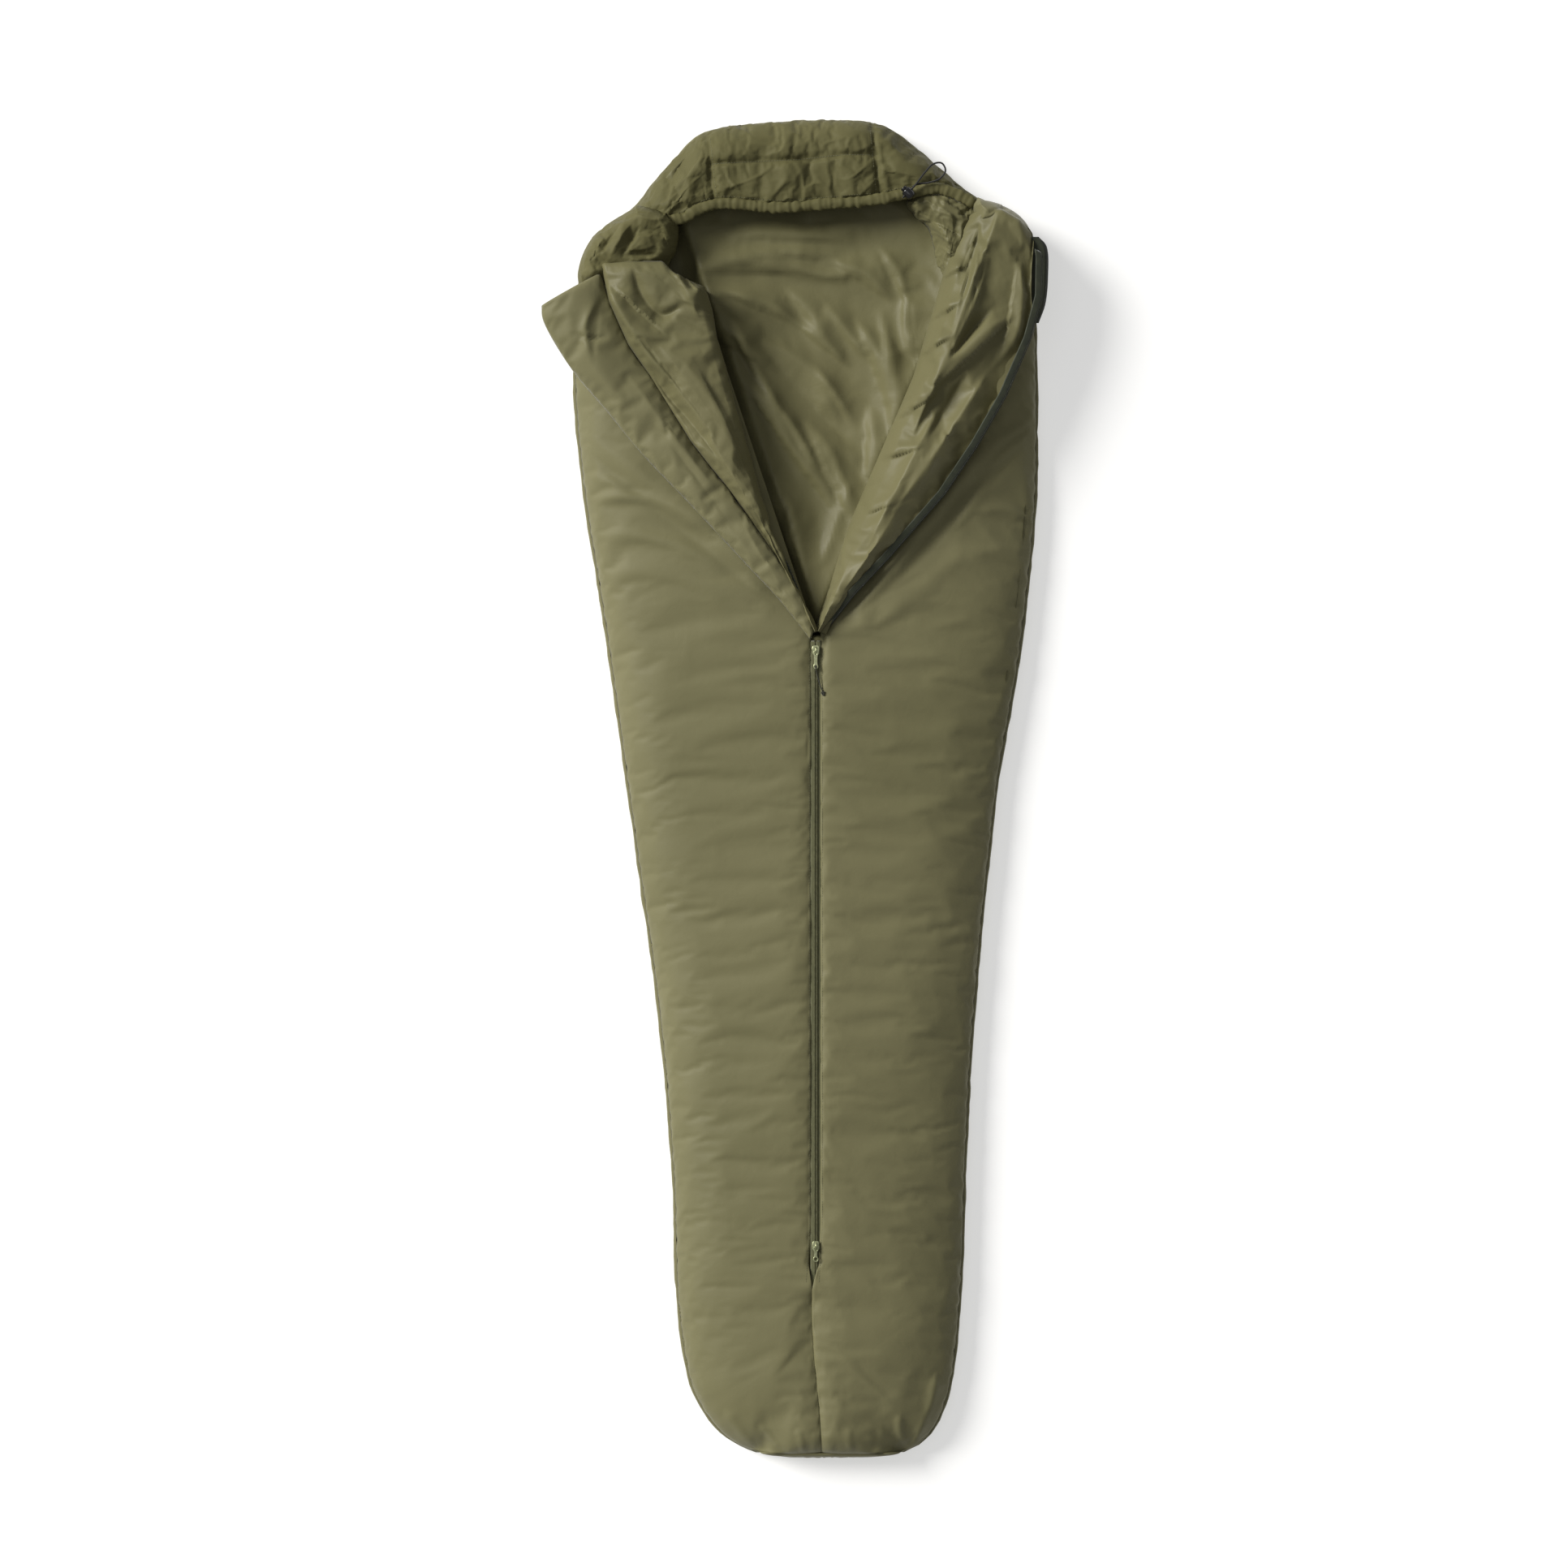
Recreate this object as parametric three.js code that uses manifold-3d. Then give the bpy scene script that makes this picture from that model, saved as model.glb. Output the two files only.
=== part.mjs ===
// Insulated bivy sack: a mummy-shaped sleeping sack laid flat on its back, with a two-way front zip,
// the two upper front corners folded out as lapels, a three-panel hood and a drawcord with a cord lock.
//
// Frame: millimetres. X = 0 on the zip line, +X to the right seen from above with the hood at the far end.
// Y = 0 at half the length, +Y towards the hood. Z = 0 on the ground that the back lies on.
// Each quilted panel is three layers: a shell skin, a wadding batt and a lining skin.
import * as THREE from "three";
import { mergeVertices } from "three/addons/utils/BufferGeometryUtils.js";
import Module from "manifold-3d";

const wasm = await Module();
wasm.setup();

// ---------------------------------------------------------------- driving dimensions
const GAP = 0.3; // clearance kept between neighbouring pieces
const SKIN = 1; // thickness drawn for a nylon skin
const WALL = 30; // how far the sleeping space stays in from the side edge
const FOOT_Y = -1088; // front and back panels end here, at the foot end wall
const FOOT_WALL = 11; // depth of the foot end wall
const BACK_TOP = 34.3; // top of the back panel, under the sleeper
const FRONT_LOW = 62; // lining side of the front panel and the hood
const FRONT_TOP = 93.3; // shell side of the front panel and the hood
const FOLD_Z = 96; // height of the fold axes of the two lapels
const FOLD_CLEAR = 0.5; // both sides of a fold stop this far from its axis

const TAPE_Z = 90.6; // underside of the closed zip's tape
const TAPE_THICK = 1;
const TAPE_WIDTH = 22;
const SLIT = 0.6; // half the slit between the two rows of the coil
const COIL_WIDTH = 3;
const COIL_Z = 91.9;
const COIL_HEIGHT = 3;
const SKIN_EDGE = 9; // the front skins stop this far from the zip line
const BATT_EDGE = 22.5; // the wadding and the lining stop this far from it
const CHAIN_TOP = 236;
const CHAIN_FOOT = -808;
const TAPE_TOP = 250;
const TAPE_FOOT = -815;
const UPPER_SLIDER_Y = 230;
const LOWER_SLIDER_Y = -744;
const PULL_LENGTH = 29;
const LOWER_PULL_LENGTH = 24;

const HEM_RADIUS = 8;
const HEM_Z = 76;
const CORD_RADIUS = 1.5;
const PULL_CORD_RADIUS = 1;

const LOCK = new THREE.Vector3(150.6, 977.4, 102.9); // centre of the cord lock
const LOCK_RADIUS = 8.5;
const LOCK_FRONT = 7; // open end of the lock's barrel, ahead of the cord hole
const BUTTON_RADIUS = 5.4;
const LEG = 1.8; // the two legs of the cord pass this far above and below the lock's centre

// ---------------------------------------------------------------- materials
const cloth = (color, roughness) => new THREE.MeshStandardMaterial({ color, roughness, metalness: 0 });
const shellCloth = cloth(0x6f6b4a, 0.55);
const liningCloth = cloth(0x5e5b3d, 0.5);
const wadding = cloth(0xd9d6c8, 0.95);
const tapeCloth = cloth(0x3c4230, 0.85);
const cordBlack = cloth(0x14140f, 0.8);
const lockPlastic = cloth(0x0c0c0c, 0.3);
const coilPlastic = cloth(0x55543a, 0.45);
const pullMetal = new THREE.MeshStandardMaterial({ color: 0x9aa078, roughness: 0.35, metalness: 0.6 });

// ---------------------------------------------------------------- small tools
const root = new THREE.Group();
const add = (name, geometry, material) => {
  const mesh = new THREE.Mesh(geometry, material);
  mesh.name = name;
  root.add(mesh);
};
const point = (x, y) => new THREE.Vector2(x, y);
const smooth = (rows, count) =>
  new THREE.SplineCurve(rows.map(([x, y]) => point(x, y))).getSpacedPoints(count);
const mirrored = (z) => 2 * FOLD_Z - z; // where a level of the closed front lies once it is folded out

// A solid over an outline, from one height to another.
const prism = (outline, low, high) =>
  new THREE.ExtrudeGeometry(new THREE.Shape(outline), { depth: high - low, bevelEnabled: false })
    .translate(0, 0, low);
const block = (x0, x1, y0, y1, z0, z1) =>
  new THREE.BoxGeometry(x1 - x0, y1 - y0, z1 - z0).translate((x0 + x1) / 2, (y0 + y1) / 2, (z0 + z1) / 2);

const solidOf = (geometry) => {
  const bare = geometry.clone();
  for (const extra of ["normal", "uv"]) bare.deleteAttribute(extra);
  const merged = mergeVertices(bare, 1e-3);
  const mesh = new wasm.Mesh({
    numProp: 3,
    vertProperties: merged.attributes.position.array,
    triVerts: new Uint32Array(merged.index.array),
  });
  return new wasm.Manifold(mesh);
};
const combined = (operation, geometry, others) => {
  const solid = others.reduce((made, other) => made[operation](solidOf(other)), solidOf(geometry));
  const mesh = solid.getMesh();
  const made = new THREE.BufferGeometry();
  made.setAttribute("position", new THREE.BufferAttribute(mesh.vertProperties, 3));
  made.setIndex(new THREE.BufferAttribute(mesh.triVerts, 1));
  made.computeVertexNormals();
  return made;
};
const cut = (geometry, ...tools) => combined("subtract", geometry, tools);
const join = (geometry, ...others) => combined("add", geometry, others);
const meet = (geometry, ...others) => combined("intersect", geometry, others);

// A plan curve moved sideways, to its right when distance is positive.
const beside = (curve, distance) =>
  curve.map((p, i) => {
    const before = curve[Math.max(0, i - 1)];
    const after = curve[Math.min(curve.length - 1, i + 1)];
    const run = after.clone().sub(before).normalize();
    return p.clone().add(point(run.y, -run.x).multiplyScalar(distance));
  });

// A round tube along a route of [x, y, z] points.
const tube = (route, radius, steps, sides, bore = 0) => {
  const path = new THREE.CatmullRomCurve3(route.map((p) => new THREE.Vector3(...p)), false, "centripetal");
  const ring = new THREE.Shape().absarc(0, 0, radius, 0, 2 * Math.PI);
  if (bore) ring.holes.push(new THREE.Path().absarc(0, 0, bore, 0, 2 * Math.PI, true));
  return new THREE.ExtrudeGeometry(ring, { steps, curveSegments: sides, extrudePath: path });
};

// ---------------------------------------------------------------- plan outline
// Each side runs from the foot to the shoulder and the crown runs from the left shoulder to the right one.
const LEFT_SIDE = smooth(
  [[-125, FOOT_Y], [-178, -1050], [-211, -975], [-226, -850], [-234, -640], [-256, -380], [-300, -60],
    [-344, 255], [-382, 500], [-397, 680], [-390, 830], [-366, 903], [-324, 939]],
  26,
);
const RIGHT_SIDE = smooth(
  [[155, FOOT_Y], [200, -1045], [226, -955], [240, -800], [247, -600], [262, -350], [298, 0],
    [338, 240], [362, 480], [364, 650], [360, 800], [350, 900], [320, 949]],
  26,
);
const CROWN = smooth(
  [[-324, 939], [-297, 961], [-268, 999], [-232, 1039], [-189, 1079], [-85, 1098], [96, 1098],
    [140, 1077], [185, 1040], [233, 999], [270, 972], [320, 949]],
  20,
);
// The whole sack between two heights, with its edge drawn in by inset.
const layer = (inset, low, high) =>
  prism(
    [
      ...beside(LEFT_SIDE, inset),
      ...beside(CROWN, inset).slice(1, -1),
      ...beside(RIGHT_SIDE, -inset).reverse(),
    ],
    low,
    high,
  );

// The three layers of an upper panel that covers region; closer is how far its wadding stays inside.
const upperPanel = (name, skinRegion, battRegion) => {
  const skin = cut(layer(0, BACK_TOP + GAP, FRONT_TOP), layer(SKIN, 0, FRONT_TOP - SKIN));
  add(`${name}_shell`, meet(skin, prism(skinRegion, 0, 100)), shellCloth);
  const batt = cut(
    layer(SKIN + GAP, BACK_TOP + GAP, FRONT_TOP - SKIN - GAP),
    layer(WALL, 0, FRONT_LOW + SKIN + GAP),
  );
  add(`${name}_wadding`, meet(batt, prism(battRegion, 0, 100)), wadding);
};
const lining = (region) => meet(layer(WALL + GAP, FRONT_LOW, FRONT_LOW + SKIN), prism(region, 0, 100));

// ---------------------------------------------------------------- back panel
const backBatt = BACK_TOP - SKIN - GAP;
add("back_shell", cut(layer(0, 0, backBatt), layer(SKIN, SKIN, 50)), shellCloth);
add("back_wadding", layer(SKIN + GAP, SKIN + GAP, backBatt), wadding);
add("back_lining", layer(0, BACK_TOP - SKIN, BACK_TOP), liningCloth);

// ---------------------------------------------------------------- front panels
// A fold line starts at the V above the zip and runs towards the hood; out points away from the opening.
const foldLine = (sign, x, y, alongX, alongY, length) => {
  const along = point(alongX, alongY).normalize();
  const out = point(along.y, -along.x).multiplyScalar(sign);
  const start = point(x, y);
  const at = (run, away) => start.clone().addScaledVector(along, run).addScaledVector(out, away);
  // The place where the line that stays away from the fold crosses a given X.
  const crossing = (crossX, away) => at((crossX - x - out.x * away) / along.x, away);
  return { sign, length, at, crossing };
};
const LEFT = foldLine(-1, 0, 258, -0.3176, 0.9482, 672);
const RIGHT = foldLine(1, 5, 258, 0.3717, 0.9284, 735);

const frontRegion = (fold, edge, seam) => [
  point(fold.sign * seam, FOOT_Y - 20),
  point(fold.sign * seam, TAPE_FOOT - 5),
  point(fold.sign * edge, TAPE_FOOT - 5),
  fold.crossing(fold.sign * edge, FOLD_CLEAR),
  fold.at(fold.length, FOLD_CLEAR),
  fold.at(fold.length, 300),
  fold.at(0, 600),
  point(fold.sign * 600, FOOT_Y - 20),
];
for (const [name, fold] of [["front_left", LEFT], ["front_right", RIGHT]]) {
  upperPanel(name, frontRegion(fold, SKIN_EDGE, GAP), frontRegion(fold, BATT_EDGE, 2 * GAP));
  add(`${name}_lining`, lining(frontRegion(fold, BATT_EDGE, 2 * GAP)), liningCloth);
}
add("zip_draft_tube", block(-21, 21, TAPE_FOOT, TAPE_TOP, FRONT_LOW, 87.5), liningCloth);

// The foot end wall, a long oval panel standing between the back and the front.
const footWall = new THREE.Shape();
footWall.absarc(107, 46.5, 44, -Math.PI / 2, Math.PI / 2);
footWall.absarc(-77, 46.5, 44, Math.PI / 2, 1.5 * Math.PI);
const footPanel = new THREE.ExtrudeGeometry(footWall, { depth: FOOT_WALL, bevelEnabled: false, curveSegments: 8 });
add("foot_end_panel", footPanel.rotateX(Math.PI / 2).translate(0, FOOT_Y - GAP, 0), shellCloth);

// ---------------------------------------------------------------- hood, shoulders and neck
const HEM = smooth(
  [[-214, 944], [-198, 955], [-160, 962], [-60, 953], [-7, 957], [100, 966], [150, 976], [200, 984],
    [240, 970], [262, 958]],
  24,
);
const hemBack = beside(HEM, -HEM_RADIUS - 3);
const hemBetween = (low, high) => hemBack.filter((p) => p.x > low && p.x < high);
const SEAM_LEFT = [point(-167, 970.5), point(-177, 1120)];
const SEAM_RIGHT = [point(104, 975.5), point(92, 1120)];
const LEFT_SHOULDER = [point(-224, 958), point(-345, 1083)];
const RIGHT_SHOULDER = [point(272, 976), point(305, 1060)];
const moved = (line, x) => line.map((p) => point(p.x + x, p.y));

const hoodRegions = (gap) => [
  ["hood_left", [...moved(LEFT_SHOULDER, gap).reverse(), ...hemBetween(-216, -168), ...moved(SEAM_LEFT, -gap)]],
  ["hood_centre", [...moved(SEAM_LEFT, gap).reverse(), ...hemBetween(-165, 102), ...moved(SEAM_RIGHT, -gap)]],
  ["hood_right", [...moved(SEAM_RIGHT, gap).reverse(), ...hemBetween(106, 262), ...moved(RIGHT_SHOULDER, -gap)]],
];
const hoodBatts = hoodRegions(2 * GAP);
hoodRegions(GAP).forEach(([name, region], i) => upperPanel(name, region, hoodBatts[i][1]));
add(
  "hood_lining",
  lining([...LEFT_SHOULDER].reverse().concat(hemBetween(-216, 262), RIGHT_SHOULDER)),
  liningCloth,
);
const along = (curve, z) => curve.map((p) => [p.x, p.y, z]);
add("hood_hem_channel", tube(along(HEM, HEM_Z), HEM_RADIUS, 48, 5, CORD_RADIUS + 2), shellCloth);
add("hood_drawcord", tube(along(HEM.slice(1, -1), HEM_Z), CORD_RADIUS, 48, 4), cordBlack);

const shoulder = (fold, boundary) =>
  meet(layer(0, BACK_TOP + GAP, 118), prism(
    [fold.at(fold.length + 4, FOLD_CLEAR), fold.at(fold.length + 4, 300), boundary[1], boundary[0]], 0, 200));
add("collar_left", shoulder(LEFT, moved(LEFT_SHOULDER, -1)), shellCloth);
add("collar_right", shoulder(RIGHT, moved(RIGHT_SHOULDER, 1)), shellCloth);
add("neck_baffle", prism(
  [point(148, 945), point(190, 985), point(240, 968), point(262, 935), point(247, 882), point(225, 862),
    point(205, 890), point(182, 925)], BACK_TOP + GAP, 60), liningCloth);

// ---------------------------------------------------------------- closed zip
for (const [name, sign] of [["left", -1], ["right", 1]]) {
  const strip = (from, to, ...rest) => block(Math.min(sign * from, sign * to), Math.max(sign * from, sign * to), ...rest);
  add(`zip_tape_${name}`, strip(SLIT, TAPE_WIDTH, TAPE_FOOT, TAPE_TOP, TAPE_Z, TAPE_Z + TAPE_THICK), tapeCloth);
  add(`zip_coil_${name}`,
    strip(SLIT, SLIT + COIL_WIDTH, CHAIN_FOOT, CHAIN_TOP, COIL_Z, COIL_Z + COIL_HEIGHT), coilPlastic);
}
add("zip_end_stop", block(-4, 4, CHAIN_FOOT - 6, CHAIN_FOOT - GAP, COIL_Z, COIL_Z + COIL_HEIGHT), pullMetal);

// A slider: two plates round the chain, held together by a web that runs in the slit, with a bail on top.
// nose is +1 when the web stands at its hood end and -1 at its foot end.
const slider = (y, nose) => {
  const top = COIL_Z + COIL_HEIGHT + GAP;
  const ends = [y + nose * 2, y + nose * 8].sort((a, b) => a - b);
  return join(
    block(-6, 6, y - 8, y + 8, TAPE_Z - GAP - 2.1, TAPE_Z - GAP),
    block(-SLIT / 2, SLIT / 2, ...ends, TAPE_Z - GAP - 1, top + 1),
    cut(block(-6, 6, y - 8, y + 8, TAPE_Z + TAPE_THICK + GAP, top + 2),
      block(-4, 4, y - 9, y + 9, TAPE_Z, top)),
    cut(block(-1, 1, y - 7, y + 5, top + 1, top + 5.4), block(-2, 2, y - 5, y + 3, top + 2, top + 4.2)),
  );
};
// A pull: a pin through the bail, two arms and a tab with a hole, pointing to the foot.
const PIN_Z = COIL_Z + COIL_HEIGHT + GAP + 3.1;
const pull = (y, length, tabRadius, hole) => {
  const pin = new THREE.CylinderGeometry(0.8, 0.8, 6, 10).rotateZ(Math.PI / 2).translate(0, y, PIN_Z);
  const arms = [-1, 1].map((s) => block(s * 2.2 - 0.8, s * 2.2 + 0.8, y - 9, y, PIN_Z - 0.7, PIN_Z + 0.7));
  const end = new THREE.CylinderGeometry(tabRadius, tabRadius, 1.4, 20).rotateX(Math.PI / 2)
    .translate(0, y - length + tabRadius, PIN_Z);
  const tab = block(-3.6, 3.6, y - length + tabRadius, y - 7, PIN_Z - 0.7, PIN_Z + 0.7);
  const bore = new THREE.CylinderGeometry(hole, hole, 4, 16).rotateX(Math.PI / 2)
    .translate(0, y - length + tabRadius, PIN_Z);
  return cut(join(pin, ...arms, tab, end), bore);
};
add("upper_slider_body", slider(UPPER_SLIDER_Y, 1), pullMetal);
add("upper_slider_pull", pull(UPPER_SLIDER_Y - 2, PULL_LENGTH, 4.5, 2.5), pullMetal);
add("lower_slider_body", slider(LOWER_SLIDER_Y, -1), pullMetal);
add("lower_slider_pull", pull(LOWER_SLIDER_Y - 2, LOWER_PULL_LENGTH, 5, 3.2), pullMetal);
const pullEye = UPPER_SLIDER_Y - 2 - PULL_LENGTH + 4.5;
add(
  "upper_pull_cord",
  tube([[0, pullEye + 0.5, PIN_Z], [0, pullEye - 0.6, PIN_Z + 2.2], [0.3, pullEye - 5, PIN_Z + 2.1],
    [2, pullEye - 12, PIN_Z - 0.8], [6, pullEye - 27, PIN_Z - 1.6], [12, pullEye - 44, PIN_Z - 1.8]],
  PULL_CORD_RADIUS, 30, 4),
  cordBlack,
);

// ---------------------------------------------------------------- lapels
// The upper corners of the front, folded out about their fold lines so that the lining faces up.
const LEFT_ZIP_EDGE = smooth(
  [[2, 262], [-27, 326], [-87, 412], [-140, 486], [-206, 572], [-273, 679], [-306, 725], [-337, 792],
    [-346, 870]], 22);
const RIGHT_ZIP_EDGE = smooth(
  [[3, 255], [50, 308], [113, 379], [206, 486], [260, 552], [306, 646], [346, 739], [364, 806], [360, 925]], 22);

const lapelWithin = (fold) => prism(
  [fold.at(-60, FOLD_CLEAR), fold.at(fold.length, FOLD_CLEAR), fold.at(fold.length, 400), fold.at(-60, 400)],
  0, 200);
for (const [side, fold, zipEdge] of [["left", LEFT, LEFT_ZIP_EDGE], ["right", RIGHT, RIGHT_ZIP_EDGE]]) {
  const inset = (distance) => beside(zipEdge, -fold.sign * distance);
  const turned = (outline, low, high) =>
    meet(prism(outline, mirrored(high), mirrored(low)), lapelWithin(fold));
  // The part of the lapel that stays some distance inside its zip edge, between two levels of the closed front.
  const sheet = (distance, low, high) =>
    turned([fold.at(-60, -60), ...inset(distance), fold.at(fold.length + 60, -60)], low, high);
  const band = (from, to, low, high) => turned([...inset(from), ...inset(to).reverse()], low, high);
  add(`${side}_lapel_shell`, sheet(SKIN_EDGE, FRONT_TOP - SKIN, FRONT_TOP), shellCloth);
  add(`${side}_lapel_wadding`, sheet(BATT_EDGE, FRONT_LOW + SKIN + GAP, FRONT_TOP - SKIN - GAP), wadding);
  add(`${side}_lapel_lining`, sheet(BATT_EDGE, FRONT_LOW, FRONT_LOW + SKIN), liningCloth);
  add(`${side}_lapel_tape`, band(SLIT, TAPE_WIDTH, TAPE_Z, TAPE_Z + TAPE_THICK), tapeCloth);
  add(`${side}_lapel_coil`, band(SLIT, SLIT + COIL_WIDTH, COIL_Z, COIL_Z + COIL_HEIGHT), coilPlastic);
}
// The insulated flap that lies behind the closed zip is carried by the left lapel and sticks out beside it.
const flap = smooth([[-446, 786], [-400, 690], [-282, 551], [-150, 412], [-118, 380]], 10);
const flapBack = beside(LEFT_ZIP_EDGE, -1.5).filter((p) => p.y > 400 && p.y < 838);
add("draft_flap", prism([...flap, ...flapBack, point(-377, 832), point(-449, 792)], mirrored(92), mirrored(68)),
  liningCloth);
add("closure_tab", prism([point(363, 904), point(377, 886), point(378, 830), point(373, 778), point(366, 765)],
  mirrored(92), mirrored(88)), tapeCloth);

// ---------------------------------------------------------------- cord lock
// Built with the cord hole along local X and the button along local Y, then turned into place.
const placeLock = (geometry) => geometry.rotateZ(Math.PI / 4).translate(LOCK.x, LOCK.y, LOCK.z);
const rod = (radius, y0, y1, sides) =>
  new THREE.CylinderGeometry(radius, radius, y1 - y0, sides).translate(0, (y0 + y1) / 2, 0);
const legHole = LEG + CORD_RADIUS + 0.5;
add("cord_lock_barrel", placeLock(cut(
  join(
    rod(LOCK_RADIUS, -6, 4.5, 24),
    new THREE.CylinderGeometry(LOCK_RADIUS, 6, 5, 24).translate(0, -8.5, 0),
    new THREE.CylinderGeometry(6.6, LOCK_RADIUS, 2.5, 24).translate(0, 5.75, 0),
  ),
  rod(BUTTON_RADIUS + GAP, -8.3, LOCK_FRONT + 1, 24),
  block(-12, 12, -2.1, 2.1, -legHole, legHole),
)), lockPlastic);
add("cord_lock_button", placeLock(cut(
  rod(BUTTON_RADIUS, -4, LOCK_FRONT + 5, 24),
  block(-12, 12, -2.1, 5.4, -legHole, legHole),
)), lockPlastic);
// The loop leaves the hem, passes through the lock, turns round and comes back through it.
const lockPoint = (x, z) => [LOCK.x + x * Math.SQRT1_2, LOCK.y + x * Math.SQRT1_2, LOCK.z + z];
add("drawcord_loop", tube(
  [lockPoint(-12, LEG), lockPoint(0, LEG), lockPoint(16, LEG), [178, 1010, 103], [193, 1025, 100],
    [206, 1026, 98], [212, 1014, 97], [203, 1001, 97.5], [185, 994, 99], lockPoint(19, -LEG),
    lockPoint(6, -LEG), lockPoint(-12, -LEG)],
  CORD_RADIUS, 70, 4), cordBlack);

export default root;
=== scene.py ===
import math

import bpy
import numpy as np
from mathutils import Matrix, Vector
from mathutils.bvhtree import BVHTree


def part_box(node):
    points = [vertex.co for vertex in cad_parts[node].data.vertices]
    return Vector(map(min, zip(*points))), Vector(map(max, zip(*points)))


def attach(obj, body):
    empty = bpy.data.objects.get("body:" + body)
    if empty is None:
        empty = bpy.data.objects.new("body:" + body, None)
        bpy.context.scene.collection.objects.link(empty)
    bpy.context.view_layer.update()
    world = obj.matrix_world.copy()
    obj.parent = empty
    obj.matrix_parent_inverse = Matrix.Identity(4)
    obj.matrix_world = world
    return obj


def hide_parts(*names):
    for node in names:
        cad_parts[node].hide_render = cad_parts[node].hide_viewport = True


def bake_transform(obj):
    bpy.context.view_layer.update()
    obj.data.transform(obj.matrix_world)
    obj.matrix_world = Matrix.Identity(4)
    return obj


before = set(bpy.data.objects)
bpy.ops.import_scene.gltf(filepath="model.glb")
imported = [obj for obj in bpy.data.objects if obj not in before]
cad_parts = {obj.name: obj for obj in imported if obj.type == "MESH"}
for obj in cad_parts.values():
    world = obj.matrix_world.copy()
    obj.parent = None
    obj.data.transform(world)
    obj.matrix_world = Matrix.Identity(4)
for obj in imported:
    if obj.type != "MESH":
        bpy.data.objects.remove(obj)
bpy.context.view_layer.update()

MM = 0.001

# ---------- lines and meshes
def link(obj):
    bpy.context.scene.collection.objects.link(obj)
    return obj


SPAN = 24  # curve points between two points of a spline


def spline(points, count):
    """count points evenly along a centripetal Catmull-Rom curve through points; 0 gives all that it is made of."""
    p = np.array(points, float)
    p = np.vstack([2 * p[0] - p[1], p, 2 * p[-1] - p[-2]])
    made = []
    for a, b, c, d in zip(p[:-3], p[1:-2], p[2:-1], p[3:]):
        t = np.cumsum([0] + [max(np.linalg.norm(q - r), 1e-6) ** 0.5 for q, r in ((b, a), (c, b), (d, c))])
        for u in np.linspace(t[1], t[2], SPAN, endpoint=False):
            a1 = (t[1] - u) / (t[1] - t[0]) * a + (u - t[0]) / (t[1] - t[0]) * b
            a2 = (t[2] - u) / (t[2] - t[1]) * b + (u - t[1]) / (t[2] - t[1]) * c
            a3 = (t[3] - u) / (t[3] - t[2]) * c + (u - t[2]) / (t[3] - t[2]) * d
            b1 = (t[2] - u) / (t[2] - t[0]) * a1 + (u - t[0]) / (t[2] - t[0]) * a2
            b2 = (t[3] - u) / (t[3] - t[1]) * a2 + (u - t[1]) / (t[3] - t[1]) * a3
            made.append((t[2] - u) / (t[2] - t[1]) * b1 + (u - t[1]) / (t[2] - t[1]) * b2)
    made = np.array(made + [p[-2]])
    if not count:
        return made
    run = np.concatenate([[0], np.cumsum(np.linalg.norm(np.diff(made, axis=0), axis=1))])
    want = np.linspace(0, run[-1], count)
    return np.stack([np.interp(want, run, made[:, k]) for k in range(made.shape[1])], axis=1)


def length_of(line):
    return float(np.sum(np.linalg.norm(np.diff(line, axis=0), axis=1)))


def headings(line, closed=False):
    """The direction of a line at each of its points."""
    run = np.roll(line, -1, axis=0) - np.roll(line, 1, axis=0) if closed else np.gradient(line, axis=0)
    return run / np.linalg.norm(run, axis=1)[:, None]


def mesh_object(name, vertices, faces, smooth=True):
    mesh = bpy.data.meshes.new(name)
    mesh.from_pydata([tuple(v) for v in np.asarray(vertices) * MM], [], faces)
    mesh.validate()
    if smooth:
        mesh.polygons.foreach_set("use_smooth", [True] * len(mesh.polygons))
    mesh.update()
    return link(bpy.data.objects.new(name, mesh))


def grid_faces(rows, cols, start=0, flip=False, wrap=False):
    faces = []
    last = cols if wrap else cols - 1
    for i in range(rows - 1):
        for j in range(last):
            k = (j + 1) % cols
            a, b = start + i * cols, start + (i + 1) * cols
            face = (a + j, a + k, b + k, b + j)
            faces.append(face[::-1] if flip else face)
    return faces


def ringed(name, vertices, sides, flip=False):
    """A mesh of rings that have the same number of sides, with a face across its first ring and its last."""
    rows = len(vertices) // sides
    faces = grid_faces(rows, sides, wrap=True, flip=flip)
    first, last = tuple(range(sides)), tuple(range((rows - 1) * sides, rows * sides))
    faces += [first, last[::-1]] if flip else [first[::-1], last]
    return mesh_object(name, vertices, faces)


def tube(name, points, radius, sides, closed=False):
    """A round rod or cord along smooth points."""
    p = np.asarray(points, float)
    run = headings(p, closed)
    up = np.array([0.0, 0.0, 1.0]) if abs(run[0][2]) < 0.9 else np.array([0.0, 1.0, 0.0])
    normals = []
    n = up - run[0] * (up @ run[0])
    for r in run:
        n = n - r * (n @ r)
        n = n / np.linalg.norm(n)
        normals.append(n)
    normals = np.array(normals)
    other = np.cross(run, normals)
    a = np.linspace(0, 2 * np.pi, sides, endpoint=False)
    cos, sin = np.cos(a)[None, :, None], np.sin(a)[None, :, None]
    vertices = (p[:, None] + radius * (normals[:, None] * cos + other[:, None] * sin)).reshape(-1, 3)
    if not closed:
        return ringed(name, vertices, sides)
    last = (len(p) - 1) * sides
    faces = grid_faces(len(p), sides, wrap=True)
    faces += [(last + j, last + (j + 1) % sides, (j + 1) % sides, j) for j in range(sides)]
    return mesh_object(name, vertices, faces)


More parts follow.
